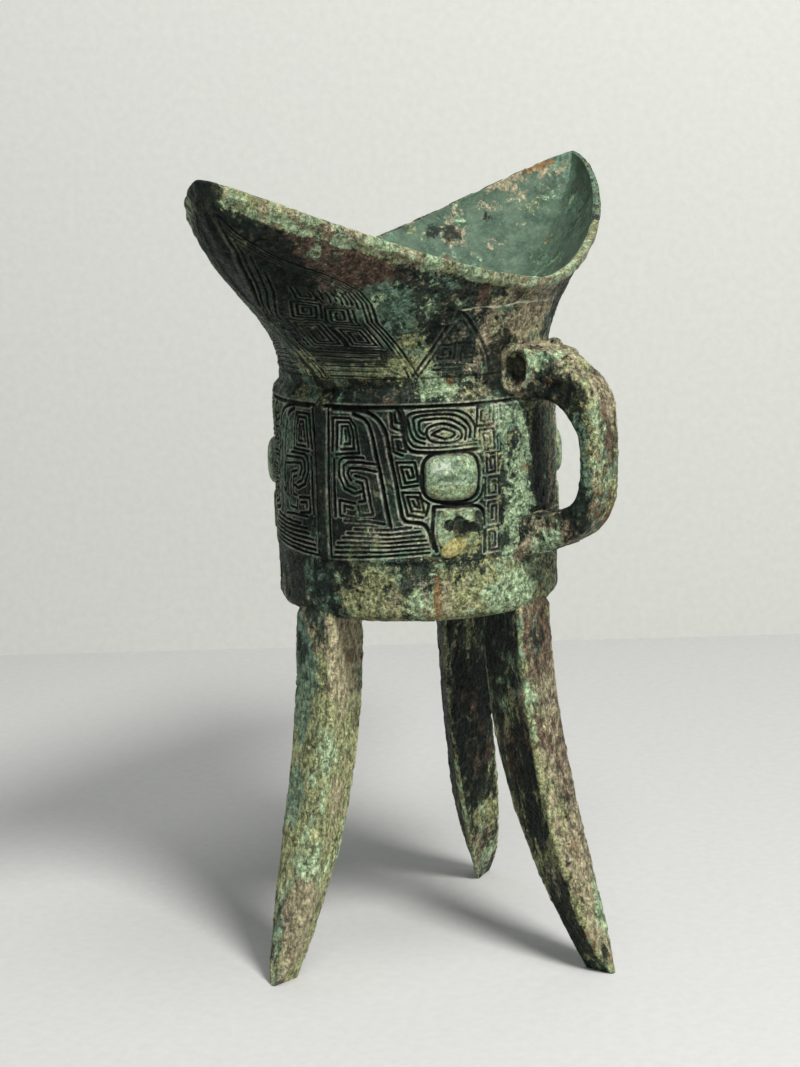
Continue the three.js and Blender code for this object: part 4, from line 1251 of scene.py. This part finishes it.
HANDLE_PATCHES = {
    "teal": [((-7, -52, 133), 4, 11, 1.0), ((-6, -43, 158), 5, 3, 0.6), ((5, -51, 130), 7, 12, 0.5)],
    "olive": [((-6, -56.5, 136), 2.5, 16, 0.8), ((0, -57, 128), 7, 10, 0.3), ((-5, -55, 149), 3.5, 5, 0.9)],
    "pale": [((-6, -43, 158), 4, 2.5, 0.4), ((-5, -56, 144), 3, 5, 0.5), ((-6, -44, 112), 6, 5, 0.35)],
    "rust": [((-5, -56, 121), 3.2, 7, 0.7), ((5, -56, 119), 4, 6, 0.5)],
    "red": [((-6, -53, 118), 6, 7, 0.5), ((-7, -45.5, 152.5), 2.4, 1.8, 0.8), ((1, -57, 136), 4, 14, 0.4)],
    # The dark patch at (-6, -38, 150), under the ear, is painted shade.
    "dark": [((-6, -38, 150), 5, 3, 0.4), ((-6, -50, 146), 5, 5, 0.25), ((-6, -52, 116), 6, 5, 0.3)],
    "tan": [((0, -40, 160), 9, 4, 0.5), ((-6, -50, 116), 6, 5, 0.4), ((3, -56, 150), 5, 6, 0.4),
            ((-6, -39, 154), 4, 6, 0.3)],
}
EAR_RIM_WEAR_AND_HIGHLIGHT = {"tan": 0.2, "pale": 0.12, "dark": -0.2}
FLANK_PAINTED_SHADE = {"dark": 0.1, "tan": -0.1}
HANDLE_VOXEL, QUICK_VOXEL = 0.32, 0.6


def join_grids(grids):
    """Closed grids joined by a fine remesh into one rounded skin."""
    points, faces, caps, start = [], [], [], 0
    for grid in grids:
        rows, columns = grid.shape[:2]
        points.append(grid.reshape(-1, 3))
        faces.append(grid_faces(rows, columns) + start)
        caps += end_caps(rows, columns, start)
        start += rows * columns
    piece = make_piece("handle_strap", np.concatenate(points), np.concatenate(faces), {}, caps)
    remesh = piece.modifiers.new("join", "REMESH")
    remesh.mode = "VOXEL"
    remesh.voxel_size = HANDLE_VOXEL * MM
    remesh.use_smooth_shade = True
    smooth = piece.modifiers.new("soften", "SMOOTH")
    smooth.factor = 0.5
    smooth.iterations = 5
    apply_modifiers(piece)
    return piece


def handle_piece():
    piece = join_grids([strap_grid(), *head_parts()])
    mesh = piece.data
    place, normal = np.empty((2, len(mesh.vertices) * 3), dtype=np.float32)
    mesh.vertices.foreach_get("co", place)
    mesh.vertex_normals.foreach_get("vector", normal)
    normal = normal.reshape(-1, 3)
    points = place.reshape(-1, 3).astype(float) / MM - np.array([0, AXIS_Y, 0])
    marks = new_marks(len(points))
    add_patina(points, marks, HANDLE_PATCHES, HANDLE_SHARES)
    from_ear = (points[:, 1:] - np.array(EAR_MIDDLE[1:])) / np.array([EAR_LONG, EAR_TALL])
    from_ear = np.linalg.norm(from_ear, axis=1)
    beside = np.abs(points[:, 0])
    uneven = 0.5 * (layered(points, 2.4, 61, 2) - 0.5)
    # Painted shade: the hollow of each ear is darkened through the groove mark.
    marks["groove"] = 0.75 * ease(0.9, 0.5, from_ear + uneven) * (beside > EAR_MIDDLE[0] - 2.6)
    ear_rim = ease(1.6, 1.3, from_ear) * ease(0.75, 0.95, from_ear)
    # The outer side of each ear's rim is made lighter: partly wear, partly a painted highlight.
    shift(marks, EAR_RIM_WEAR_AND_HIGHLIGHT, ear_rim * ease(EAR_MIDDLE[0] - 1.6, EAR_MIDDLE[0] - 0.4, beside))
    # Painted shade: the side faces of the strap and of the head are made darker.
    shift(marks, FLANK_PAINTED_SHADE, ease(0.5, 0.8, np.abs(normal[:, 0])) * ease(-38, -42, points[:, 1]))
    moved = points + normal * (corrosion(points, 1.1) + crust_rise(marks) - 0.16)[:, None]
    moved[:, 1] = np.maximum(moved[:, 1], -HANDLE_REACH + 0.02)
    place = (moved + np.array([0, AXIS_Y, 0])) * MM
    mesh.vertices.foreach_set("co", place.astype(np.float32).ravel())
    mesh.update()
    set_marks(piece, marks)
    return piece


def apply_modifiers(piece):
    """The same object with the shape that its modifiers give, and none left on it."""
    graph = bpy.context.evaluated_depsgraph_get()
    shaped = bpy.data.meshes.new_from_object(piece.evaluated_get(graph))
    piece.modifiers.clear()
    old = piece.data
    piece.data = shaped
    shaped.name = piece.name
    bpy.data.meshes.remove(old)
    shaped.polygons.foreach_set("use_smooth", np.ones(len(shaped.polygons), dtype=bool))


# The spacers: small plates that lie flush in the wall and the base
SPACER_HALF = 2.5


def spacer_piece(node):
    low, high = box_mm(node)
    middle = (low + high) / 2 - np.array([0, AXIS_Y, 0])
    steps = 26
    side = np.linspace(-SPACER_HALF, SPACER_HALF, steps)
    across, up = np.meshgrid(side, side)
    if "wall" in node:
        face = np.stack([np.sqrt(CUP_RADIUS**2 - across**2), across, up + middle[2]], axis=-1)
        out, depth = np.array([1.0, 0, 0]), WALL - 0.5
    else:
        radius = np.hypot(middle[0], middle[1])
        below = LEG_HEIGHT - base_sag(np.hypot(radius + up, across))
        face = np.stack([radius + up, -across, below], axis=-1)
        out, depth = np.array([0, 0, -1.0]), BASE_THICKNESS - 0.6
    turned = spin(math.degrees(math.atan2(middle[1], middle[0])))
    face, out = face @ turned, out @ turned
    from_edge = np.minimum(SPACER_HALF - np.abs(across), SPACER_HALF - np.abs(up))
    lift = corrosion(face) + 0.07 - 0.25 * ease(0.3, 0.0, from_edge)
    front, back = face + out * lift[..., None], face - out * depth

    index = np.arange(steps * steps).reshape(steps, steps)
    corners = [index[:-1, :-1], index[:-1, 1:], index[1:, 1:], index[1:, :-1]]
    quads = np.stack(corners, axis=-1).reshape(-1, 4)
    edge = np.concatenate([index[0, :-1], index[:-1, -1], index[-1, :0:-1], index[:0:-1, 0]])
    after = np.roll(edge, -1)
    walls = np.stack([edge, edge + index.size, after + index.size, after], axis=-1)
    faces = np.concatenate([quads, quads[:, ::-1] + index.size, walls])
    points = np.concatenate([front.reshape(-1, 3), back.reshape(-1, 3)])
    marks = new_marks(len(points))
    add_patina(points, marks, OUTER_PATCHES, CUP_SHARES)
    return make_piece(node + "_plate", points, faces, marks)


# Materials
def colour(red, green, blue):
    """A colour as it shows on a screen, from 0 to 255, in the shader's own numbers."""
    shown = np.array([red, green, blue]) / 255
    linear = np.where(shown <= 0.04045, shown / 12.92, ((shown + 0.055) / 1.055) ** 2.4)
    return (*(float(value) for value in linear), 1.0)


class Nodes:
    """Short ways to add and join nodes in one material."""

    def __init__(self, name):
        self.material = bpy.data.materials.new(name)
        self.material.use_nodes = True
        self.tree = self.material.node_tree
        self.shader = self.tree.nodes["Principled BSDF"]
        self.place = self.add("ShaderNodeTexCoord").outputs["Object"]

    def add(self, kind, **settings):
        node = self.tree.nodes.new(kind)
        for name, value in settings.items():
            setattr(node, name, value)
        return node

    def feed(self, socket, value):
        if isinstance(value, bpy.types.NodeSocket):
            self.tree.links.new(value, socket)
        else:
            socket.default_value = value

    def noise(self, size_mm, detail=4.0, rough=0.6, shift=0.0, stretch=(1, 1, 1), bend=0.0):
        place = self.place
        if shift or stretch != (1, 1, 1):
            mapping = self.add("ShaderNodeMapping")
            mapping.inputs["Location"].default_value = (shift, shift * 0.7, shift * 1.3)
            mapping.inputs["Scale"].default_value = stretch
            self.feed(mapping.inputs["Vector"], self.place)
            place = mapping.outputs[0]
        node = self.add("ShaderNodeTexNoise")
        self.feed(node.inputs["Vector"], place)
        node.inputs["Scale"].default_value = 1 / (size_mm * MM)
        node.inputs["Detail"].default_value = detail
        node.inputs["Roughness"].default_value = rough
        node.inputs["Distortion"].default_value = bend
        return node.outputs["Fac"]

    def maths(self, operation, *values):
        node = self.add("ShaderNodeMath", operation=operation)
        for socket, value in zip(node.inputs, values):
            self.feed(socket, value)
        return node.outputs[0]

    def times(self, first, second):
        return self.maths("MULTIPLY", first, second)

    def plus(self, first, second):
        return self.maths("ADD", first, second)

    def less(self, first, second):
        return self.maths("SUBTRACT", first, second)

    def scaled(self, value, factor, start):
        return self.maths("MULTIPLY_ADD", value, factor, start)

    def range(self, value, low, high, bottom=0.0, top=1.0):
        node = self.add("ShaderNodeMapRange", interpolation_type="SMOOTHSTEP")
        names = ("Value", "From Min", "From Max", "To Min", "To Max")
        for name, entry in zip(names, (value, low, high, bottom, top)):
            self.feed(node.inputs[name], entry)
        return node.outputs[0]

    def mix(self, share, first, second, mode="MIX"):
        node = self.add("ShaderNodeMix", data_type="RGBA", blend_type=mode)
        self.feed(node.inputs["Factor"], share)
        self.feed(node.inputs["A"], first)
        self.feed(node.inputs["B"], second)
        return node.outputs["Result"]

    def ramp(self, value, stops):
        node = self.add("ShaderNodeValToRGB")
        elements = node.color_ramp.elements
        while len(elements) < len(stops):
            elements.new(0.5)
        for element, (where, tone) in zip(elements, stops):
            element.position = where
            element.color = colour(*tone)
        self.feed(node.inputs["Fac"], value)
        return node.outputs["Color"]

    def mark(self, name):
        return self.add("ShaderNodeAttribute", attribute_name=name).outputs["Fac"]

    def bump(self, height, strength, distance_mm, normal=None):
        node = self.add("ShaderNodeBump")
        self.feed(node.inputs["Strength"], strength)
        node.inputs["Distance"].default_value = distance_mm * MM
        self.feed(node.inputs["Height"], height)
        if normal is not None:
            self.feed(node.inputs["Normal"], normal)
        return node.outputs["Normal"]


GROUND = [(0.30, (12, 15, 14)), (0.46, (27, 34, 30)), (0.56, (50, 60, 51)), (0.70, (100, 108, 92))]
# Each patina's darker and lighter tone, from the one under the others to the one on top
TONES = {
    "olive": ((70, 75, 48), (186, 190, 138)),
    "tan": ((84, 77, 61), (184, 172, 142)),
    "red": ((40, 30, 25), (104, 82, 68)),
    "teal": ((50, 80, 66), (120, 146, 124)),
    "pale": ((104, 130, 100), (186, 208, 168)),
    "rust": ((76, 54, 32), (150, 112, 70)),
    "dark": ((6, 9, 9), (23, 31, 29)),
}
CRUMBS, GROOVE_DIRT_AND_SHADE, SPARKS = (16, 18, 15), (11, 13, 11), (176, 186, 164)
NET, PAINTED_GLINT_TONE, CRACK_TONE = (28, 46, 34), (222, 230, 216), (206, 204, 178)
WASH_TONES = [(0.36, (56, 74, 62)), (0.64, (84, 102, 86))]
KNOB_TONES = [(0.34, (96, 88, 48)), (0.58, (196, 188, 128))]
CREST_WEAR_AND_HIGHLIGHT_TONES = [(0.38, (124, 162, 136)), (0.56, (200, 204, 184))]
CLAY_TONES = [(0.3, (74, 54, 40)), (0.7, (142, 112, 84))]


def patina_layers(nodes, base, shift_by, along, lift):
    """Lays each kind of patina over the metal where its mark and a fine noise let it show."""
    for number, (kind, (dark, light)) in enumerate(TONES.items()):
        grain = nodes.noise(2.2 + 0.4 * number, 9, 0.76, shift_by + 0.11 * (number + 1), along, bend=0.4)
        level = nodes.plus(nodes.mark(kind), nodes.scaled(grain, 2.2, -1.1))
        least, most = (0.78, 0.96) if kind == "dark" else (0.5, 0.94)
        thin = nodes.noise(1.3 + 0.1 * number, 6, 0.75, shift_by + 0.23 * (number + 3))
        thin = nodes.range(thin, 0.38, 0.56, least, most)
        shows = nodes.times(nodes.range(level, 0.42, 0.60), thin)
        shades = nodes.noise(0.75 + 0.1 * number, 7, 0.74, shift_by + 0.17 * (number + 2))
        shades = nodes.plus(shades, lift)
        base = nodes.mix(shows, base, nodes.ramp(shades, [(0.36, dark), (0.64, light)]))
    return base


def crumbs_and_specks(nodes, base, inner, crumb, shift_by):
    """Crumbly light and dark, dark specks, and pale sparks, all weaker inside the cup."""
    spread = nodes.range(crumb, 0.36, 0.64, 0.28, 2.0)
    crumbly = nodes.less(nodes.scaled(inner, -0.5, 0.9), nodes.times(nodes.mark("smooth"), 0.4))
    base = nodes.mix(nodes.maths("MAXIMUM", crumbly, 0.2), base, spread, "MULTIPLY")
    specks = nodes.range(nodes.noise(0.6, 4, 0.66, shift_by + 0.9), 0.56, 0.66)
    specks = nodes.times(specks, nodes.scaled(inner, -0.55, 0.7))
    base = nodes.mix(specks, base, colour(*CRUMBS))
    sparks = nodes.range(nodes.noise(0.5, 4, 0.7, shift_by + 1.1), 0.60, 0.68)
    sparks = nodes.times(sparks, nodes.scaled(inner, -0.3, 0.45))
    sparks = nodes.times(sparks, nodes.range(nodes.mark("dark"), 0.25, 0.75, 1.0, 0.1))
    return nodes.mix(sparks, base, colour(*SPARKS))


def eye_and_line_tones(nodes, base, fine, shift_by):
    """The net on the eyes and the painted glint of light on them, the knob, the crests, made lighter partly
    as wear and partly as a painted highlight, and the pale crack.
    """
    net = nodes.maths("ABSOLUTE", nodes.less(nodes.noise(2.6, 4, 0.6, shift_by + 1.3, bend=0.6), 0.5))
    net = nodes.times(nodes.range(net, 0.035, 0.012, 0, 0.75), nodes.mark("pale"))
    base = nodes.mix(net, base, colour(*NET))
    # A painted highlight: a pale glint on the upper left of each eye.
    painted_glint_spots = nodes.range(nodes.noise(1.4, 5, 0.7, shift_by + 2.1), 0.40, 0.56, 0.1, 0.95)
    base = nodes.mix(nodes.times(painted_glint_spots, nodes.mark("painted_glint")), base, colour(*PAINTED_GLINT_TONE))
    base = nodes.mix(nodes.mark("knob"), base, nodes.ramp(fine, KNOB_TONES))
    # The crests between the cut lines are made lighter: partly wear, partly a painted highlight.
    crest = nodes.times(nodes.mark("crest"), nodes.range(fine, 0.36, 0.56, 0.25, 1.0))
    crest_wear_and_highlight = nodes.ramp(nodes.noise(5.0, 4, 0.6, shift_by + 2.6), CREST_WEAR_AND_HIGHLIGHT_TONES)
    broken = nodes.range(nodes.noise(3.0, 5, 0.7, shift_by + 2.9), 0.38, 0.52, 0.55, 1.0)
    base = nodes.mix(nodes.times(crest, broken), base, crest_wear_and_highlight)
    return nodes.mix(nodes.times(nodes.mark("crack"), 0.8), base, colour(*CRACK_TONE))


def bronze_material(name, shift_by, lift=0.0, run=1.0):
    """Cast bronze under layers of patina."""
    along = (1, 1, run)
    nodes = Nodes(name)
    coarse = nodes.noise(4.0, 8, 0.66, shift_by, along)
    fine = nodes.noise(0.8, 5, 0.66, shift_by + 0.31)
    tone = nodes.plus(nodes.times(coarse, 0.5), nodes.times(fine, 0.5))
    base = nodes.ramp(nodes.plus(tone, lift), GROUND)
    inner = nodes.mark("inner")
    base = nodes.mix(inner, base, nodes.ramp(nodes.noise(5.0, 8, 0.7, shift_by + 0.6), WASH_TONES))
    base = patina_layers(nodes, base, shift_by, along, lift)
    crumb = nodes.noise(1.5, 5, 0.8, shift_by + 1.7, along)
    base = crumbs_and_specks(nodes, base, inner, crumb, shift_by)
    eye = nodes.mark("eye")
    base = eye_and_line_tones(nodes, base, fine, shift_by)
    groove = nodes.mark("groove")
    # The cut lines, the slots and the hollows are painted near black: partly dirt in them, partly painted
    # shade.
    base = nodes.mix(nodes.range(groove, 0.15, 0.75, 0, 0.92), base, colour(*GROOVE_DIRT_AND_SHADE))
    nodes.feed(nodes.shader.inputs["Base Color"], base)

    rough = nodes.range(fine, 0.34, 0.66, 0.30, 0.74)
    rough = nodes.maths("MAXIMUM", rough, nodes.times(inner, 0.62))
    rough = nodes.less(rough, nodes.times(nodes.mark("smooth"), 0.1))
    rough = nodes.less(rough, nodes.times(eye, 0.16))
    nodes.feed(nodes.shader.inputs["Roughness"], nodes.plus(rough, nodes.times(groove, 0.2)))
    nodes.shader.inputs["Metallic"].default_value = 0.12
    nodes.shader.inputs["Specular IOR Level"].default_value = 0.1
    grains = nodes.noise(0.4, 5, 0.7, shift_by + 0.5)
    lumps = nodes.noise(1.8, 7, 0.68, shift_by + 0.7)
    calm = nodes.scaled(inner, -0.6, 0.9)
    first = nodes.bump(crumb, calm, 0.8, nodes.bump(lumps, calm, 0.6))
    nodes.feed(nodes.shader.inputs["Normal"], nodes.bump(grains, calm, 0.3, first))
    return nodes.material


def clay_material():
    nodes = Nodes("baked_clay")
    grains = nodes.noise(0.8, 6, 0.7)
    nodes.feed(nodes.shader.inputs["Base Color"], nodes.ramp(grains, CLAY_TONES))
    nodes.feed(nodes.shader.inputs["Roughness"], nodes.range(grains, 0.3, 0.7, 0.8, 0.98))
    nodes.feed(nodes.shader.inputs["Normal"], nodes.bump(grains, 0.6, 0.3))
    return nodes.material


# The stage: a plain pale floor and backdrop, plain lamps, and the photograph's camera
FOCAL_LENGTH, SENSOR_WIDTH = 78.34, 36.0
CAMERA_DISTANCE, CAMERA_HEIGHT = 594.0, 223.8
CAMERA_AZIMUTH, CAMERA_PITCH, CAMERA_YAW, CAMERA_ROLL = 34.143, 10.871, -0.439, -1.624
BACKDROP_GAP = 330.0
LAMP_TARGET = 120.0
PALE_STUDIO, SOFT_LIGHT, SOFT_STRENGTH = (220, 221, 214), (0.84, 0.89, 0.92, 1), 0.28
# The floor and the backdrop, in metres: their size, and between which distances they thin out. They are
# seen from their front only.
STAGE_SIZE = 6
STAGE_EDGE = (0.42, 0.66)


def camera_axes():
    turn = math.radians(CAMERA_AZIMUTH)
    ahead = Vector((math.cos(turn), math.sin(turn), 0))
    right = Vector((math.sin(turn), -math.cos(turn), 0))
    return ahead, right


def make_camera():
    ahead, right = camera_axes()
    place = (-ahead * CAMERA_DISTANCE + Vector((0, AXIS_Y, CAMERA_HEIGHT))) * MM
    pitch, yaw, roll = (math.radians(angle) for angle in (CAMERA_PITCH, CAMERA_YAW, CAMERA_ROLL))
    forward = ahead * math.cos(yaw) + right * math.sin(yaw)
    side = right * math.cos(yaw) - ahead * math.sin(yaw)
    up = Vector((0, 0, 1))
    look = forward * math.cos(pitch) - up * math.sin(pitch)
    top = up * math.cos(pitch) + forward * math.sin(pitch)
    x_axis = side * math.cos(roll) + top * math.sin(roll)
    y_axis = top * math.cos(roll) - side * math.sin(roll)
    data = bpy.data.cameras.new("photo_camera")
    data.lens = FOCAL_LENGTH
    data.sensor_width = SENSOR_WIDTH
    data.clip_start = 0.01
    camera = bpy.data.objects.new("photo_camera", data)
    turn = Matrix((x_axis, y_axis, -look)).transposed().to_4x4()
    camera.matrix_world = Matrix.Translation(place) @ turn
    bpy.context.scene.collection.objects.link(camera)
    bpy.context.scene.camera = camera


def make_lamp(name, azimuth, elevation, distance, size, power, tint):
    turn, rise = math.radians(azimuth), math.radians(elevation)
    target = Vector((0, AXIS_Y, LAMP_TARGET)) * MM
    away = Vector((math.cos(turn) * math.cos(rise), math.sin(turn) * math.cos(rise), math.sin(rise)))
    data = bpy.data.lights.new(name, "AREA")
    data.shape = "DISK"
    data.size = size
    data.energy = power
    data.color = tint
    lamp = bpy.data.objects.new(name, data)
    lamp.location = target + away * distance
    lamp.rotation_euler = away.to_track_quat("Z", "Y").to_euler()
    bpy.context.scene.collection.objects.link(lamp)


def plain_material(name, tone, rough):
    nodes = Nodes(name)
    grain = nodes.noise(3.0, 3, 0.6)
    shade = tuple(value * 0.97 for value in tone)
    nodes.feed(nodes.shader.inputs["Base Color"], nodes.ramp(grain, [(0.3, shade), (0.7, tone)]))
    nodes.shader.inputs["Roughness"].default_value = rough
    from_middle = nodes.add("ShaderNodeVectorMath", operation="LENGTH")
    nodes.feed(from_middle.inputs[0], nodes.place)
    facing = nodes.add("ShaderNodeNewGeometry")
    thinned = nodes.range(from_middle.outputs["Value"], *STAGE_EDGE)
    gone = nodes.maths("MAXIMUM", thinned, facing.outputs["Backfacing"])
    either = nodes.add("ShaderNodeMixShader")
    nodes.feed(either.inputs[0], gone)
    nodes.feed(either.inputs[1], nodes.shader.outputs[0])
    nodes.feed(either.inputs[2], nodes.add("ShaderNodeBsdfTransparent").outputs[0])
    nodes.feed(nodes.tree.nodes["Material Output"].inputs["Surface"], either.outputs[0])
    return nodes.material


def make_world():
    """A soft even light, behind which a view and a reflection see the pale studio."""
    world = bpy.data.worlds.new("studio")
    bpy.context.scene.world = world
    world.use_nodes = True
    tree = world.node_tree
    light = tree.nodes["Background"]
    light.inputs["Color"].default_value = SOFT_LIGHT
    light.inputs["Strength"].default_value = SOFT_STRENGTH
    seen = tree.nodes.new("ShaderNodeBackground")
    seen.inputs["Color"].default_value = colour(*PALE_STUDIO)
    path = tree.nodes.new("ShaderNodeLightPath")
    either = tree.nodes.new("ShaderNodeMixShader")
    rays = path.outputs["Is Camera Ray"]
    for name in ("Is Glossy Ray", "Is Transmission Ray"):
        wider = tree.nodes.new("ShaderNodeMath")
        wider.operation = "MAXIMUM"
        tree.links.new(rays, wider.inputs[0])
        tree.links.new(path.outputs[name], wider.inputs[1])
        rays = wider.outputs[0]
    for number, source in enumerate((rays, light.outputs[0], seen.outputs[0])):
        tree.links.new(source, either.inputs[number])
    tree.links.new(either.outputs[0], tree.nodes["World Output"].inputs["Surface"])


def stage_plane(name, place, rotation, tone, rough):
    """One of the stage's two large planes, with its own material."""
    bpy.ops.mesh.primitive_plane_add(size=STAGE_SIZE, location=place, rotation=rotation)
    plane = bpy.context.object
    plane.name = name
    plane.data.materials.append(plain_material("pale_" + name, tone, rough))
    return plane


def make_stage():
    for thing in list(bpy.data.objects):
        if thing.type in {"LIGHT", "CAMERA"}:
            bpy.data.objects.remove(thing)
    ahead, right = camera_axes()
    under = Vector((0, AXIS_Y * MM, 0))
    facing = (math.pi / 2, 0, math.atan2(right.y, right.x))
    floor = stage_plane("floor", under, (0, 0, 0), (186, 186, 185), 0.9)
    behind = ahead * BACKDROP_GAP * MM + under
    backdrop = stage_plane("backdrop", behind, facing, (202, 203, 198), 0.95)
    make_world()
    make_lamp("key", azimuth=246, elevation=48, distance=1.0, size=0.26, power=14.0,
              tint=(1.0, 0.985, 0.955))
    make_lamp("top", azimuth=240, elevation=74, distance=1.1, size=0.4, power=4.4, tint=(1.0, 1.0, 1.0))
    bpy.context.scene.view_settings.view_transform = "Standard"


BAND_BOARDS = band_boards()
BLADE_BOARDS = blade_boards()
SMALL_BOARDS = small_blade_boards()

make_stage()
make_camera()

cup_bronze = bronze_material("cup_bronze_patina", 0.0)
leg_bronze = bronze_material("leg_bronze_patina", 0.4, run=0.6)
pale_leg_bronze = bronze_material("pale_leg_bronze_patina", 0.4, lift=0.06, run=0.6)
handle_bronze = bronze_material("handle_bronze_patina", 0.8, run=0.8)
spacer_bronze = bronze_material("spacer_bronze_patina", 0.0, lift=0.05)
clay = clay_material()


def dress(piece, material, node):
    piece.data.materials.clear()
    piece.data.materials.append(material)
    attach(piece, "root")
    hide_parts(node)


dress(cup_piece(), cup_bronze, "cup")
for leg in LEGS:
    dress(leg_piece(leg), pale_leg_bronze if leg == "leg_left" else leg_bronze, leg)
dress(handle_piece(), handle_bronze, "handle")
for node in frame["nodes"]:
    if "spacer" in node:
        dress(spacer_piece(node), spacer_bronze, node)
for node, thing in frame["nodes"].items():
    if "core" in node:
        thing.data.materials.clear()
        thing.data.materials.append(clay)
